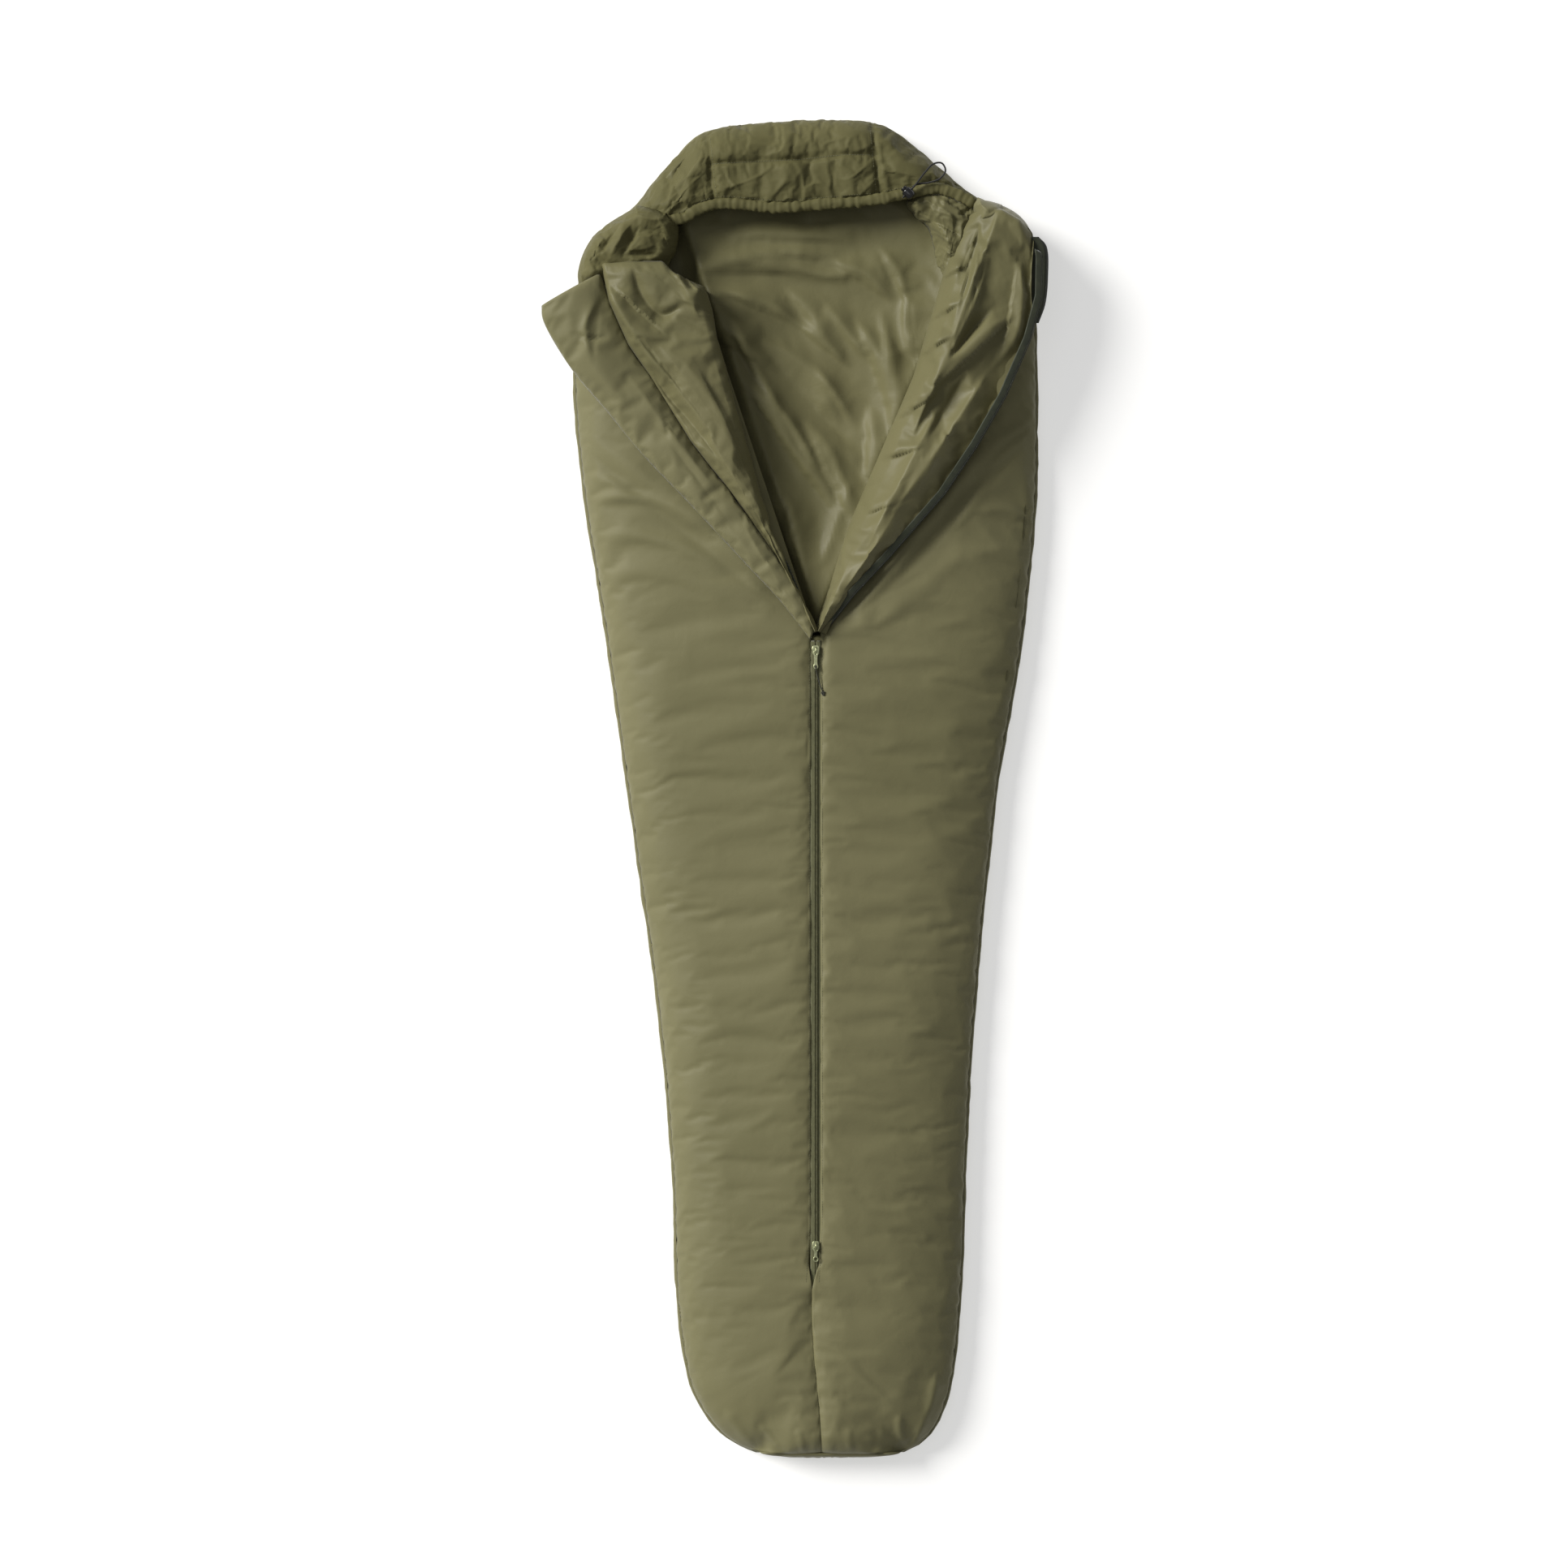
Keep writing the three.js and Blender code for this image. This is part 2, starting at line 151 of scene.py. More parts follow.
# ---------- camera
camera_data = bpy.data.cameras.new("camera")
camera_data.type = "PERSP"
camera_data.sensor_width = 36
camera_data.lens = 120
camera_data.clip_end = 60
VIEW_WIDTH = 2.5745  # metres across the picture, at the height VIEW_Z
VIEW_Z = 0.06
camera = link(bpy.data.objects.new("camera", camera_data))
camera.location = (-0.052, 0.0112, VIEW_Z + VIEW_WIDTH * camera_data.lens / camera_data.sensor_width)
bpy.context.scene.camera = camera


# ---------- the free cords, on the routes of their solids
LOCK = np.array([150.6, 977.4, 102.9])  # middle of the cord lock, which lies at 45 degrees
ROOT_HALF = math.sqrt(0.5)
PULL_EYE_Y = 203.5  # the hole at the end of the upper pull


def lock_point(x, z):
    """A point x along the bore of the cord lock and z over its middle."""
    return LOCK + [x * ROOT_HALF, x * ROOT_HALF, z]


loop_route = spline([lock_point(-12, 1.8), lock_point(0, 1.8), lock_point(16, 1.8), (178, 1010, 103),
                     (193, 1025, 100), (206, 1026, 98), (212, 1014, 97), (203, 1001, 97.5), (185, 994, 99),
                     lock_point(19, -1.8), lock_point(6, -1.8), lock_point(-12, -1.8)], 90)
drawcord = tube("drawcord_elastic", loop_route, 1.5, 14)
pull_route = spline([(x, PULL_EYE_Y + away, z) for x, away, z in (
    (0, 0.5, 98.3), (0, -0.6, 100.5), (0.3, -5, 100.4), (2, -12, 97.5), (6, -27, 96.7), (12, -44, 96.5))], 40)
pull_cord = tube("pull_cord_twisted", pull_route, 1.0, 12)
around = np.linspace(0, 2 * np.pi, 72, endpoint=False)
trefoil = np.column_stack([np.sin(around) + 2 * np.sin(2 * around), np.cos(around) - 2 * np.cos(2 * around),
                           -0.9 * np.sin(3 * around)])
knot = tube("pull_cord_knot", pull_route[-1] + 1.25 * trefoil * [0.8, 0.8, 1], 1.0, 10, closed=True)


# ---------- light
def lamp(name, kind, energy, heading, place=(0, 0, 0), **settings):
    """A light that shines along heading."""
    data = bpy.data.lights.new(name, kind)
    data.energy = energy
    for setting, value in settings.items():
        setattr(data, setting, value)
    obj = link(bpy.data.objects.new(name, data))
    obj.location = place
    obj.rotation_euler = Vector(heading).to_track_quat("-Z", "Y").to_euler()


lamp("key", "SUN", 4.1, (0.82, -0.40, -0.60), angle=math.radians(26), color=(1.0, 0.985, 0.955))
lamp("top", "AREA", 14, (0.8, -0.6, -5.0), place=(-0.8, 0.6, 5.0), shape="DISK", size=3.0)
world = bpy.data.worlds.new("studio")
world.use_nodes = True
background = world.node_tree.nodes["Background"]
background.inputs["Color"].default_value = (1, 1, 1, 1)
background.inputs["Strength"].default_value = 0.205
bpy.context.scene.world = world
bpy.context.scene.view_settings.view_transform = "Standard"


# ---------- numbers and curves
def fade(t):
    """Perlin's weight between two corners of a cell."""
    return t * t * t * (t * (t * 6 - 15) + 10)


def perlin(x, y, seed):
    """Smooth noise of about -1 to 1 at each (x, y), in cells of size 1."""
    table = np.random.default_rng(seed).permutation(256)
    angle = np.random.default_rng(seed + 1).uniform(0, 2 * math.pi, 256)
    x0, y0 = np.floor(x).astype(int), np.floor(y).astype(int)
    fx, fy = x - x0, y - y0

    def corner(i, j):
        h = table[(table[(x0 + i) % 256] + y0 + j) % 256]
        return np.cos(angle[h]) * (fx - i) + np.sin(angle[h]) * (fy - j)

    u, v = fade(fx), fade(fy)
    low = corner(0, 0) * (1 - u) + corner(1, 0) * u
    high = corner(0, 1) * (1 - u) + corner(1, 1) * u
    return (low * (1 - v) + high * v) * 1.5


def smoothstep(x, low, high):
    """0 below low, 1 above high, and a smooth climb between them."""
    t = np.clip((x - low) / (high - low), 0, 1)
    return t * t * (3 - 2 * t)


def dome(f):
    """A quarter circle: steep at f = 0, where it is 0, and flat at f = 1, where it is 1."""
    return np.sqrt(1 - (1 - f) ** 2)


def look_up(table, at):
    """The value at each place in at, from a table of (place, value) pairs."""
    return np.interp(at, *zip(*table))


def between(left, right, t):
    """A grid of points with a row from each point of left to its partner in right, at the shares t."""
    return left[:, None] * (1 - t)[None, :, None] + right[:, None] * t[None, :, None]


def to_line(p, line):
    """Distance from each point of p (..., 2) to a polyline, and how far along it the nearest point is."""
    flat = p.reshape(-1, 2)
    best = np.full(len(flat), 1e9)
    along = np.zeros(len(flat))
    run = 0.0
    for a, b in zip(line[:-1], line[1:]):
        ab = b - a
        length = float(np.hypot(*ab))
        t = np.clip(((flat - a) @ ab) / max(length * length, 1e-9), 0, 1)
        d = np.hypot(flat[:, 0] - a[0] - t * ab[0], flat[:, 1] - a[1] - t * ab[1])
        near = d < best
        best[near] = d[near]
        along[near] = run + t[near] * length
        run += length
    return best.reshape(p.shape[:-1]), along.reshape(p.shape[:-1])


GATHERS = [(7, 9, 0.7), (13, 18, 1.3), (24, 38, 2.0), (46, 80, 2.4), (95, 150, 2.0)]  # wave, reach, height


def puckers(s, d, seed, scale=1.0, amount=1.0, broad=1.0):
    """Gathers that stand square to a seam: fine beside it, merging into longer, wider folds away from it."""
    total = np.zeros_like(s)
    for k, (wave, reach, height) in enumerate(GATHERS):
        wave, reach = wave * scale, reach * scale
        bent = s + 0.25 * d * perlin(s / (wave * 5), d / (wave * 6), seed + 31 * k)
        n = perlin(bent / wave, d / (wave * 7), seed + 7 * k)
        strength = 0.5 + 0.8 * np.clip(perlin(s / (wave * 4), d * 0, seed + 13 * k) + 0.3, 0, 1)
        total += height * (broad if k > 2 else 1) * strength * n * np.exp(-d / reach)
    return total * amount


def stroke(p, line, count, taper):
    """For points p and a fold line: the distance to it, how full the fold is there, and the side of it."""
    line = spline(line, count)
    d, along = to_line(p, line)
    t = along / length_of(line)
    ends = smoothstep(t, 0, taper) * smoothstep(1 - t, 0, taper)
    run = line[-1] - line[0]
    return d, ends, (p[..., 0] - line[0][0]) * run[1] - (p[..., 1] - line[0][1]) * run[0]


def ridge(p, line, width, height):
    """A soft fold along a polyline, highest at its middle and running out at its ends."""
    d, ends, _ = stroke(p, line, 14, 0.25)
    return height * ends * np.exp(-((d / (width * (0.35 + 0.65 * ends))) ** 2))


def crease(p, line, width, height):
    """A fold of thin cloth: a sharp crest along a polyline, with one side steeper than the other."""
    d, ends, side = stroke(p, line, 16, 0.35)
    w = width * (0.4 + 0.6 * ends) * np.where(side > 0, 0.6, 1.5)
    return height * ends * np.exp(-(d / w) ** 1.3)


def add_folds(z, kind, p, folds, wide=1.0, high=1.0, share=1.0):
    """Raises the heights z by each (line, width, height) of folds, drawn as a ridge or a crease."""
    for line, width, height in folds:
        z += kind(p, line, width * wide, height * high) * share


# ---------- padded pieces and their cloth
def pillow(name, top, under):
    """A closed piece from two grids of the same size that share their border."""
    rows, cols = top.shape[:2]
    vertices = list(top.reshape(-1, 3))
    index = np.arange(rows * cols).reshape(rows, cols)
    low = index.copy()
    for i in range(1, rows - 1):
        for j in range(1, cols - 1):
            low[i, j] = len(vertices)
            vertices.append(under[i, j])
    faces = grid_faces(rows, cols)
    for i in range(rows - 1):
        for j in range(cols - 1):
            faces.append((low[i, j], low[i + 1, j], low[i + 1, j + 1], low[i, j + 1]))
    return mesh_object(name, vertices, faces)


def border(rows, cols):
    """A grid that is 1 on its border, where a piece is sewn, and 0 inside."""
    grid = np.zeros((rows, cols))
    grid[0] = grid[-1] = grid[:, 0] = grid[:, -1] = 1
    return grid


def pinned(obj, grid):
    """Pins for a pillow: grid says which points of its upper side are held, and its underside is held."""
    pin = np.ones(len(obj.data.vertices))
    pin[:grid.size] = grid.reshape(-1)
    return pin


STIFFNESS = 12.0


def simulate(obj, pin, pressure, shrink, frames, cap, bending):
    """Blender's cloth on the unpinned part of obj, applied to its mesh. No point moves more than cap, in mm."""
    mesh = obj.data
    count = len(mesh.vertices)
    corner = np.empty(len(mesh.loops), dtype=int)
    mesh.loops.foreach_get("vertex_index", corner)
    used = [corner[f.loop_start:f.loop_start + f.loop_total] for f in mesh.polygons]
    used = [f for f in used if (pin[f] < 1).any()]
    keep = np.unique(np.concatenate(used))
    index = np.full(count, -1)
    index[keep] = np.arange(len(keep))
    co = np.empty(count * 3)
    mesh.vertices.foreach_get("co", co)
    co = co.reshape(-1, 3)
    part = bpy.data.meshes.new("cloth")
    part.from_pydata(co[keep].tolist(), [], [index[f].tolist() for f in used])
    sheet = link(bpy.data.objects.new("cloth", part))
    group = sheet.vertex_groups.new(name="pin")
    group.add(np.nonzero(pin[keep] >= 1)[0].tolist(), 1.0, "REPLACE")
    cloth = sheet.modifiers.new("cloth", "CLOTH")
    s = cloth.settings
    s.quality = 4
    s.mass = 0.12
    s.tension_stiffness = s.compression_stiffness = STIFFNESS
    s.shear_stiffness = STIFFNESS * 0.4
    s.bending_stiffness = bending
    s.tension_damping = s.compression_damping = s.shear_damping = 5
    s.air_damping = 2
    s.vertex_group_mass = "pin"
    s.shrink_min = shrink
    s.use_pressure = True
    s.uniform_pressure_force = pressure
    s.effector_weights.gravity = 0
    cloth.collision_settings.use_collision = False
    cloth.point_cache.frame_start = 1
    cloth.point_cache.frame_end = frames
    scene = bpy.context.scene
    for f in range(1, frames + 1):
        scene.frame_set(f)
    shape = sheet.evaluated_get(bpy.context.evaluated_depsgraph_get())
    after = np.empty(len(keep) * 3)
    shape.data.vertices.foreach_get("co", after)
    move = after.reshape(-1, 3) - co[keep]
    length = np.linalg.norm(move, axis=1)
    limit = cap * MM
    share = np.where(length > 1e-9, limit * np.tanh(length / limit) / np.maximum(length, 1e-9), 0)
    co[keep] += move * share[:, None]
    bpy.data.objects.remove(sheet)
    bpy.data.meshes.remove(part)
    mesh.vertices.foreach_set("co", co.reshape(-1))
    mesh.update()
    scene.frame_set(1)


# ---------- plan of the sack, in millimetres
FOOT_Y = -1088
LEFT_SIDE = spline([(-98, FOOT_Y), (-128, -1076), (-160, -1051), (-188, -1014), (-206, -975), (-226, -850),
                    (-234, -640), (-256, -380), (-300, -60), (-344, 255), (-382, 500), (-397, 680), (-390, 830),
                    (-366, 903), (-324, 939)], 160)
RIGHT_SIDE = spline([(146, FOOT_Y), (170, -1076), (191, -1055), (211, -1016), (226, -955), (240, -800),
                     (247, -600), (262, -350), (298, 0), (338, 240), (362, 480), (364, 650), (360, 800),
                     (350, 900), (320, 949)], 160)
CROWN = spline([(-324, 939), (-297, 961), (-268, 999), (-232, 1039), (-189, 1079), (-85, 1098), (96, 1098),
                (140, 1077), (185, 1040), (233, 999), (270, 972), (320, 949)], 90)
HEM = spline([(-264, 934), (-240, 931), (-216, 936), (-193, 949), (-160, 959), (-60, 953), (-7, 957),
              (100, 966), (150, 976), (200, 984), (240, 970), (262, 958)], 120)
OUTLINE = np.vstack([LEFT_SIDE, CROWN[1:-1], RIGHT_SIDE[::-1]])
SCALLOP = 17  # the length of the small waves along the outer seam
V_Y = 258  # where the opening starts


class Fold:
    """A fold line that starts at the V and runs towards the hood; out points away from the opening."""

    def __init__(self, sign, start, along, length):
        self.start = np.array(start, float)
        self.along = np.array(along, float) / np.hypot(*along)
        self.out = sign * np.array([self.along[1], -self.along[0]])
        self.length = length

    def at(self, run, away):
        """Plan points that far along the line and that far out from it."""
        return self.start + np.multiply.outer(run, self.along) + np.multiply.outer(away, self.out)


LEFT = Fold(-1, (0, V_Y), (-0.3176, 0.9482), 672)
RIGHT = Fold(1, (5, V_Y), (0.3717, 0.9284), 735)


def seam_x(y):
    """The line of the zip, and the centre seam below it, which leans towards the right."""
    return -6 * smoothstep(-y, 700, 830) + 15 * smoothstep(-y, 850, 1088)


def crinkle(p, seed, size):
    """Soft random creasing of thin cloth, from about -1 to 1."""
    x, y = p[..., 0] / size, p[..., 1] / size
    wx, wy = perlin(x * 0.7, y * 0.7, seed), perlin(x * 0.7 + 9, y * 0.7, seed + 1)
    a = 1 - np.abs(perlin(x + 0.8 * wx, y + 0.8 * wy, seed + 2)) * 2
    b = 1 - np.abs(perlin(x * 2.1 + wy, y * 2.1 + wx, seed + 3)) * 2
    return a * 0.7 + b * 0.3


def spaced(count, edge=0.6):
    """Shares from 0 to 1 that lie closer together near both ends."""
    t = np.linspace(0, 1, count)
    return t * (1 - edge) + edge * (0.5 - 0.5 * np.cos(np.pi * t))


# ---------- front panels
SEAM_Z = 30.0  # the seam round the sack
FRONT_Z = 96.0  # the front beside the zip
SIDE_FALL = {-1: 27.0, 1: 34.0}  # how much lower the front gets towards its side seam
SHOULDER = {-1: 105, 1: 150}  # how far in from that seam it is rounded
TOP_EDGE = {-1: (832, 6), 1: (936, 36)}  # y of the top edge at the fold line, and its drop at the side
PANEL_ROWS, PANEL_COLS = 470, 60


def front_plan(side, fold, sign):
    """Plan points of a front half in rows from the foot up, and the x of its inner edge on each row."""
    y_top, drop = TOP_EDGE[sign]
    y_in = np.linspace(FOOT_Y, y_top, PANEL_ROWS)
    y_out = y_in - drop * smoothstep(y_in, 420, y_top)
    x_side = np.interp(y_out, side[:, 1], side[:, 0])
    half_gap = 7.5 - 7.9 * smoothstep(-y_in, 768, 822)
    x_zip = seam_x(y_in) + sign * half_gap
    run = np.clip((y_in - fold.start[1]) / fold.along[1], 0, None)
    x_fold = fold.at(run, 1.0)[:, 0]
    bend = smoothstep(y_in, 240, 275)
    x_in = x_zip * (1 - bend) + np.where(sign * x_fold > sign * x_zip, x_fold, x_zip) * bend
    u = spaced(PANEL_COLS)
    p = np.stack([x_side[:, None] * (1 - u) + x_in[:, None] * u,
                  y_out[:, None] * (1 - u) + y_in[:, None] * u], axis=-1)
    if sign < 0:  # the top edge of the left half rises under the collar
        rise = np.interp(u, [0, 0.2, 0.72, 0.81, 1], [0, 27, 27, 10, -4])
        p[..., 1] += rise * smoothstep(y_in, 760, y_top)[:, None]
    return p, x_in


def front_panel(name, side, fold, folds, seed):
    """One half of the quilted front, from its side seam to the zip and, above the V, to the fold line."""
    sign = int(np.sign(fold.out[0]))
    p, x_in = front_plan(side, fold, sign)
    px, py = p[..., 0], p[..., 1]
    d_side, s_side = to_line(p, side)
    d_foot = py - FOOT_Y
    d_zip = np.abs(px - x_in[:, None])
    below = 1 - smoothstep(py, -835, -812)  # the centre seam, below the zip
    above = smoothstep(py, 250, 330)  # the fold line, beside the opening
    shut = smoothstep(-py, 770, 792) * (1 - below)  # the placket closes over the end of the zip
    # The section across: round at the side seam, and highest beside the zip.
    t = np.clip(d_side / SHOULDER[sign], 0, 1)
    across = np.clip(1 - d_side / np.maximum(d_side + d_zip, 1), 0, 1)
    z = SEAM_Z + (FRONT_Z - SIDE_FALL[sign] * across ** 1.7 - SEAM_Z) * (1 - (1 - t) ** 2.7) ** 0.55
    # It rolls over to the seam of the foot end, and dips into the zip and the fold line.
    tf = np.clip(d_foot / 45, 0, 1)
    z = np.minimum(z, 66 + (z - 66) * (1 - (1 - tf) ** 2.2) ** 0.72)
    z -= (5.5 * (1 - 0.85 * shut) + 3.5 * below) * np.exp(-d_zip / (7 + 6 * below)) * (1 - above)
    z -= 12 * above * smoothstep(-d_zip, -70, 0)
    # Puckers along each seam, then the broad unevenness and the folds.
    z += puckers(s_side, d_side, seed, 1.15, 0.75, 0.5) * smoothstep(d_side, 0, 10)
    z += puckers(py, d_zip, seed + 100, 1.0, 0.9, 0.55) * (1 - above) * smoothstep(d_zip, 0, 5)
    foot_amount = 1 - smoothstep(d_foot, 60, 150)
    z += puckers(px, np.maximum(d_foot, 0), seed + 200, 1.1, 1.4) * smoothstep(d_foot, 0, 6) * foot_amount
    z += 0.7 * perlin(px / 150, py / 46, seed + 3) + 1.8 * perlin(px / 240, py / 190, seed + 4)
    add_folds(z, ridge, p, folds)
    scallop = 1.6 * perlin(s_side / SCALLOP, d_side * 0, seed + 9) * np.exp(-d_side / 8)
    x = px - sign * (1.2 + scallop) * np.exp(-d_side / 10)
    low = np.minimum(z - 2, 34 + 28 * smoothstep(d_side, 12, 60))
    obj = pillow(name, np.stack([x, py, z], axis=-1), np.stack([x, py, low], axis=-1))
    return obj, pinned(obj, border(PANEL_ROWS, PANEL_COLS))


LEFT_FOLDS = [
    ([(-374, 585), (-275, 512), (-169, 426), (-70, 330)], 16, 5.0),
    ([(-376, 560), (-280, 480), (-180, 395), (-80, 312)], 12, -5.0),
    ([(-381, 478), (-300, 482), (-230, 462), (-160, 408)], 11, 4.0),
    ([(-374, 416), (-290, 418), (-200, 392), (-116, 345)], 14, 3.4),
    ([(-365, 345), (-280, 362), (-190, 345), (-90, 290)], 20, 2.4),
    ([(-380, 520), (-330, 505), (-290, 500)], 9, 2.8),
    ([(-98, -1082), (-118, -1058), (-152, -1008)], 9, 2.6),
    ([(-58, -1084), (-72, -1062), (-94, -1036)], 6, 2.2),
    ([(-20, -1084), (-24, -1066), (-30, -1040)], 6, 1.8),
]
RIGHT_FOLDS = [
    ([(356, 612), (290, 565), (225, 495), (136, 376), (60, 285)], 14, 5.5),
    ([(350, 575), (270, 500), (200, 420), (120, 330)], 12, -4.5),
    ([(350, 590), (300, 540), (262, 480), (225, 420)], 10, 3.5),
    ([(352, 450), (300, 462), (262, 455)], 10, 2.6),
    ([(330, 400), (250, 385), (170, 330), (90, 262)], 18, 2.6),
    ([(142, -1083), (122, -1066), (98, -1044)], 6, 3.2),
    ([(150, -1080), (139, -1054), (136, -1018)], 7, 3.8),
    ([(162, -1076), (174, -1046), (190, -1004), (199, -950)], 9, 4.2),
    ([(128, -1084), (110, -1072), (76, -1058)], 5, 2.4),
    ([(60, -1084), (54, -1064), (56, -1040)], 6, 2.0),
]
front_left, pin_left = front_panel("front_left_panel", LEFT_SIDE, LEFT, LEFT_FOLDS, 11)
front_right, pin_right = front_panel("front_right_panel", RIGHT_SIDE, RIGHT, RIGHT_FOLDS, 57)


# ---------- back panel and its lining
def offset_ring(distance):
    """The outline drawn in by distance."""
    run = headings(OUTLINE, closed=True)
    return OUTLINE + distance * np.stack([run[:, 1], -run[:, 0]], axis=1)


BACK_LEVELS = [(2, 29.5), (-1.2, 29.0), (-3.2, 22), (-3.0, 15), (0.5, 8), (7, 3.2), (18, 1.0), (38, 0.2)]


def back_panel():
    """The quilted back: rings of the outline, each drawn in by an inset at its own height."""
    _, s = to_line(OUTLINE, np.vstack([OUTLINE, OUTLINE[:1]]))
    scallop = 1.6 * perlin(s / SCALLOP, s * 0, 20)
    inward = offset_ring(1) - OUTLINE
    rings = []
    for k, (inset, z) in enumerate(BACK_LEVELS):
        bulge = puckers(s, np.full(len(s), 4.0 * k), 24, 1.2, 0.7) * min(1, k / 2)
        ring = offset_ring(inset) - (scallop * math.exp(-k / 2))[:, None] * inward
        if k < 6:
            ring -= bulge[:, None] * inward
        rings.append(np.column_stack([ring, np.full(len(s), z)]))
    n = len(s)
    faces = grid_faces(len(BACK_LEVELS), n, flip=True, wrap=True)
    faces.append(tuple(range(n))[::-1])
    faces.append(tuple(range((len(BACK_LEVELS) - 1) * n, len(BACK_LEVELS) * n)))
    return mesh_object("back_panel", np.vstack(rings), faces)


LINING_FOLDS = [
    ([(-232, 778), (-150, 755), (-100, 715), (-60, 680)], 15, 7),
    ([(-240, 740), (-205, 700), (-160, 660)], 12, 4),
    ([(-215, 800), (-130, 812), (-70, 770)], 12, 4),
    ([(-140, 690), (-75, 630), (-38, 560), (10, 500), (40, 440)], 15, 8),
    ([(-170, 640), (-120, 560), (-80, 470)], 13, 6),
    ([(-95, 740), (-20, 700), (20, 640), (50, 575)], 12, 5),
    ([(-55, 830), (-10, 790), (30, 720)], 13, 4),
    ([(-30, 620), (20, 560), (52, 480), (62, 420)], 13, 6),
    ([(15, 800), (60, 740), (95, 700)], 11, 4),
    ([(105, 800), (120, 720), (130, 640), (120, 560)], 16, 7),
    ([(150, 830), (150, 760), (165, 700)], 12, 5),
    ([(85, 640), (95, 560), (80, 500)], 12, 4.5),
    ([(-110, 520), (-60, 440), (-40, 370)], 12, 5),
    ([(60, 520), (30, 440), (5, 360)], 14, 5.5),
    ([(100, 500), (65, 430), (38, 350)], 12, 4),
    ([(-60, 500), (-30, 420), (-15, 340)], 10, 4),
    ([(-190, 870), (-60, 885), (60, 880)], 15, 3),
    ([(-120, 900), (0, 850), (90, 850)], 14, 2.5),
    ([(-150, 908), (-60, 917), (60, 905)], 9, 3.5),
    ([(-205, 852), (-120, 868), (-20, 848)], 10, 4.5),
    ([(-165, 822), (-80, 800), (-20, 758)], 8, 5),
    ([(20, 872), (80, 850), (130, 800)], 9, 4.5),
    ([(-182, 802), (-130, 760), (-108, 700)], 8, 5.5),
    ([(62, 780), (100, 720), (112, 640)], 9, 5.5),
    ([(-10, 702), (30, 650), (62, 598)], 8, 5.5),
    ([(-72, 642), (-30, 580), (2, 520)], 8, 5.5),
    ([(-40, 770), (10, 738), (58, 690)], 7, 4.5),
    ([(-135, 740), (-90, 680), (-55, 600)], 8, 5),
    ([(100, 900), (135, 850), (150, 790)], 8, 4.5),
]


def lining_sheet():
    """The lining that shows in the opening, as one crumpled sheet on the back."""
    rows, cols, inset = 185, 126, 16
    y = np.linspace(60, 1072, rows)
    sides = np.vstack([LEFT_SIDE, CROWN[:30]]), np.vstack([RIGHT_SIDE, CROWN[:55:-1]])
    left, right = (np.interp(y, side[:, 1], side[:, 0]) for side in sides)
    u = np.linspace(0, 1, cols)
    x = (left + inset)[:, None] * (1 - u) + (right - inset)[:, None] * u
    p = np.stack([x, y[:, None] * np.ones(cols)], axis=-1)
    d, _ = to_line(p, OUTLINE)
    z = 35.5 + 9 * (1 - smoothstep(d, 16, 70))
    shown = smoothstep(p[..., 1], 180, 330)
    for fold, lift in ((LEFT, 26), (RIGHT, 20)):
        away = (p - fold.start) @ fold.out
        z += lift * shown * np.exp(-np.abs(away + 12) / np.where(away < -12, 60, 14))
    add_folds(z, crease, p, LINING_FOLDS, wide=1.1, high=1.9, share=shown)
    z += (1.8 * crinkle(p, 71, 130) + 0.8 * crinkle(p, 75, 48)) * shown
    z = np.maximum(z, 34.6)
    obj = mesh_object("back_lining_sheet", np.dstack([p, z]).reshape(-1, 3), grid_faces(rows, cols, flip=True))
    grid = np.zeros((rows, cols))
    grid[:, :2] = grid[:, -2:] = grid[:2] = grid[-2:] = 1
    return obj, grid.reshape(-1)


def thicken(obj, thickness):
    """Gives a sheet its thickness, below the surface."""
    solidify = obj.modifiers.new("thickness", "SOLIDIFY")
    solidify.thickness = thickness * MM
    solidify.offset = -1
    mesh = bpy.data.meshes.new_from_object(obj.evaluated_get(bpy.context.evaluated_depsgraph_get()))
    obj.modifiers.clear()
    obj.data = mesh
    mesh.name = obj.name


back = back_panel()
lining, pin_lining = lining_sheet()


# ---------- lapels
UNDERSIDE_Z = 100.5
EDGE_BACK = 6  # the padding ends this far inside the zip edge
ROLL_COLUMNS = 12


def lapel_section(width, inner, roll, top_z, rate):
    """The ring of columns round a lapel: up the roll, across the face, round the zip edge and back underneath.

    Each column has its distance out on each row, its height, and how much it wrinkles.
    """
    edge = width - EDGE_BACK
    roll_out, roll_top = roll[-1]
    base = inner + roll_out
    columns = [(inner + u, z, 0.75 * smoothstep(z, 60, 90)) for u, z in spline(roll, ROLL_COLUMNS + 1)[:-1]]
    for t in np.linspace(0, 1, 46):
        climb = (top_z - roll_top) * (1 - (1 - min(1, t * rate)) ** 2)
        crown = 5.0 * math.sin(math.pi * min(1, t * 1.05)) ** 0.8
        columns.append((base + (edge - base) * t, roll_top + climb + crown - 6 * t ** 6, 1.0))
    columns += [(edge + 5 * out, top_z - down, 0.0) for out, down in ((0.6, 9), (1.0, 14), (0.4, 20))]
    columns += [(inner + 12 + (edge - inner - 14) * (1 - k / 11), UNDERSIDE_Z, 0.0) for k in range(12)]
    columns.append((inner + 7, 92.0, 0.0))
    u = np.stack([column[0] for column in columns], axis=1)
    z = np.tile([float(column[1]) for column in columns], (len(width), 1))
    return u, z, np.array([column[2] for column in columns])


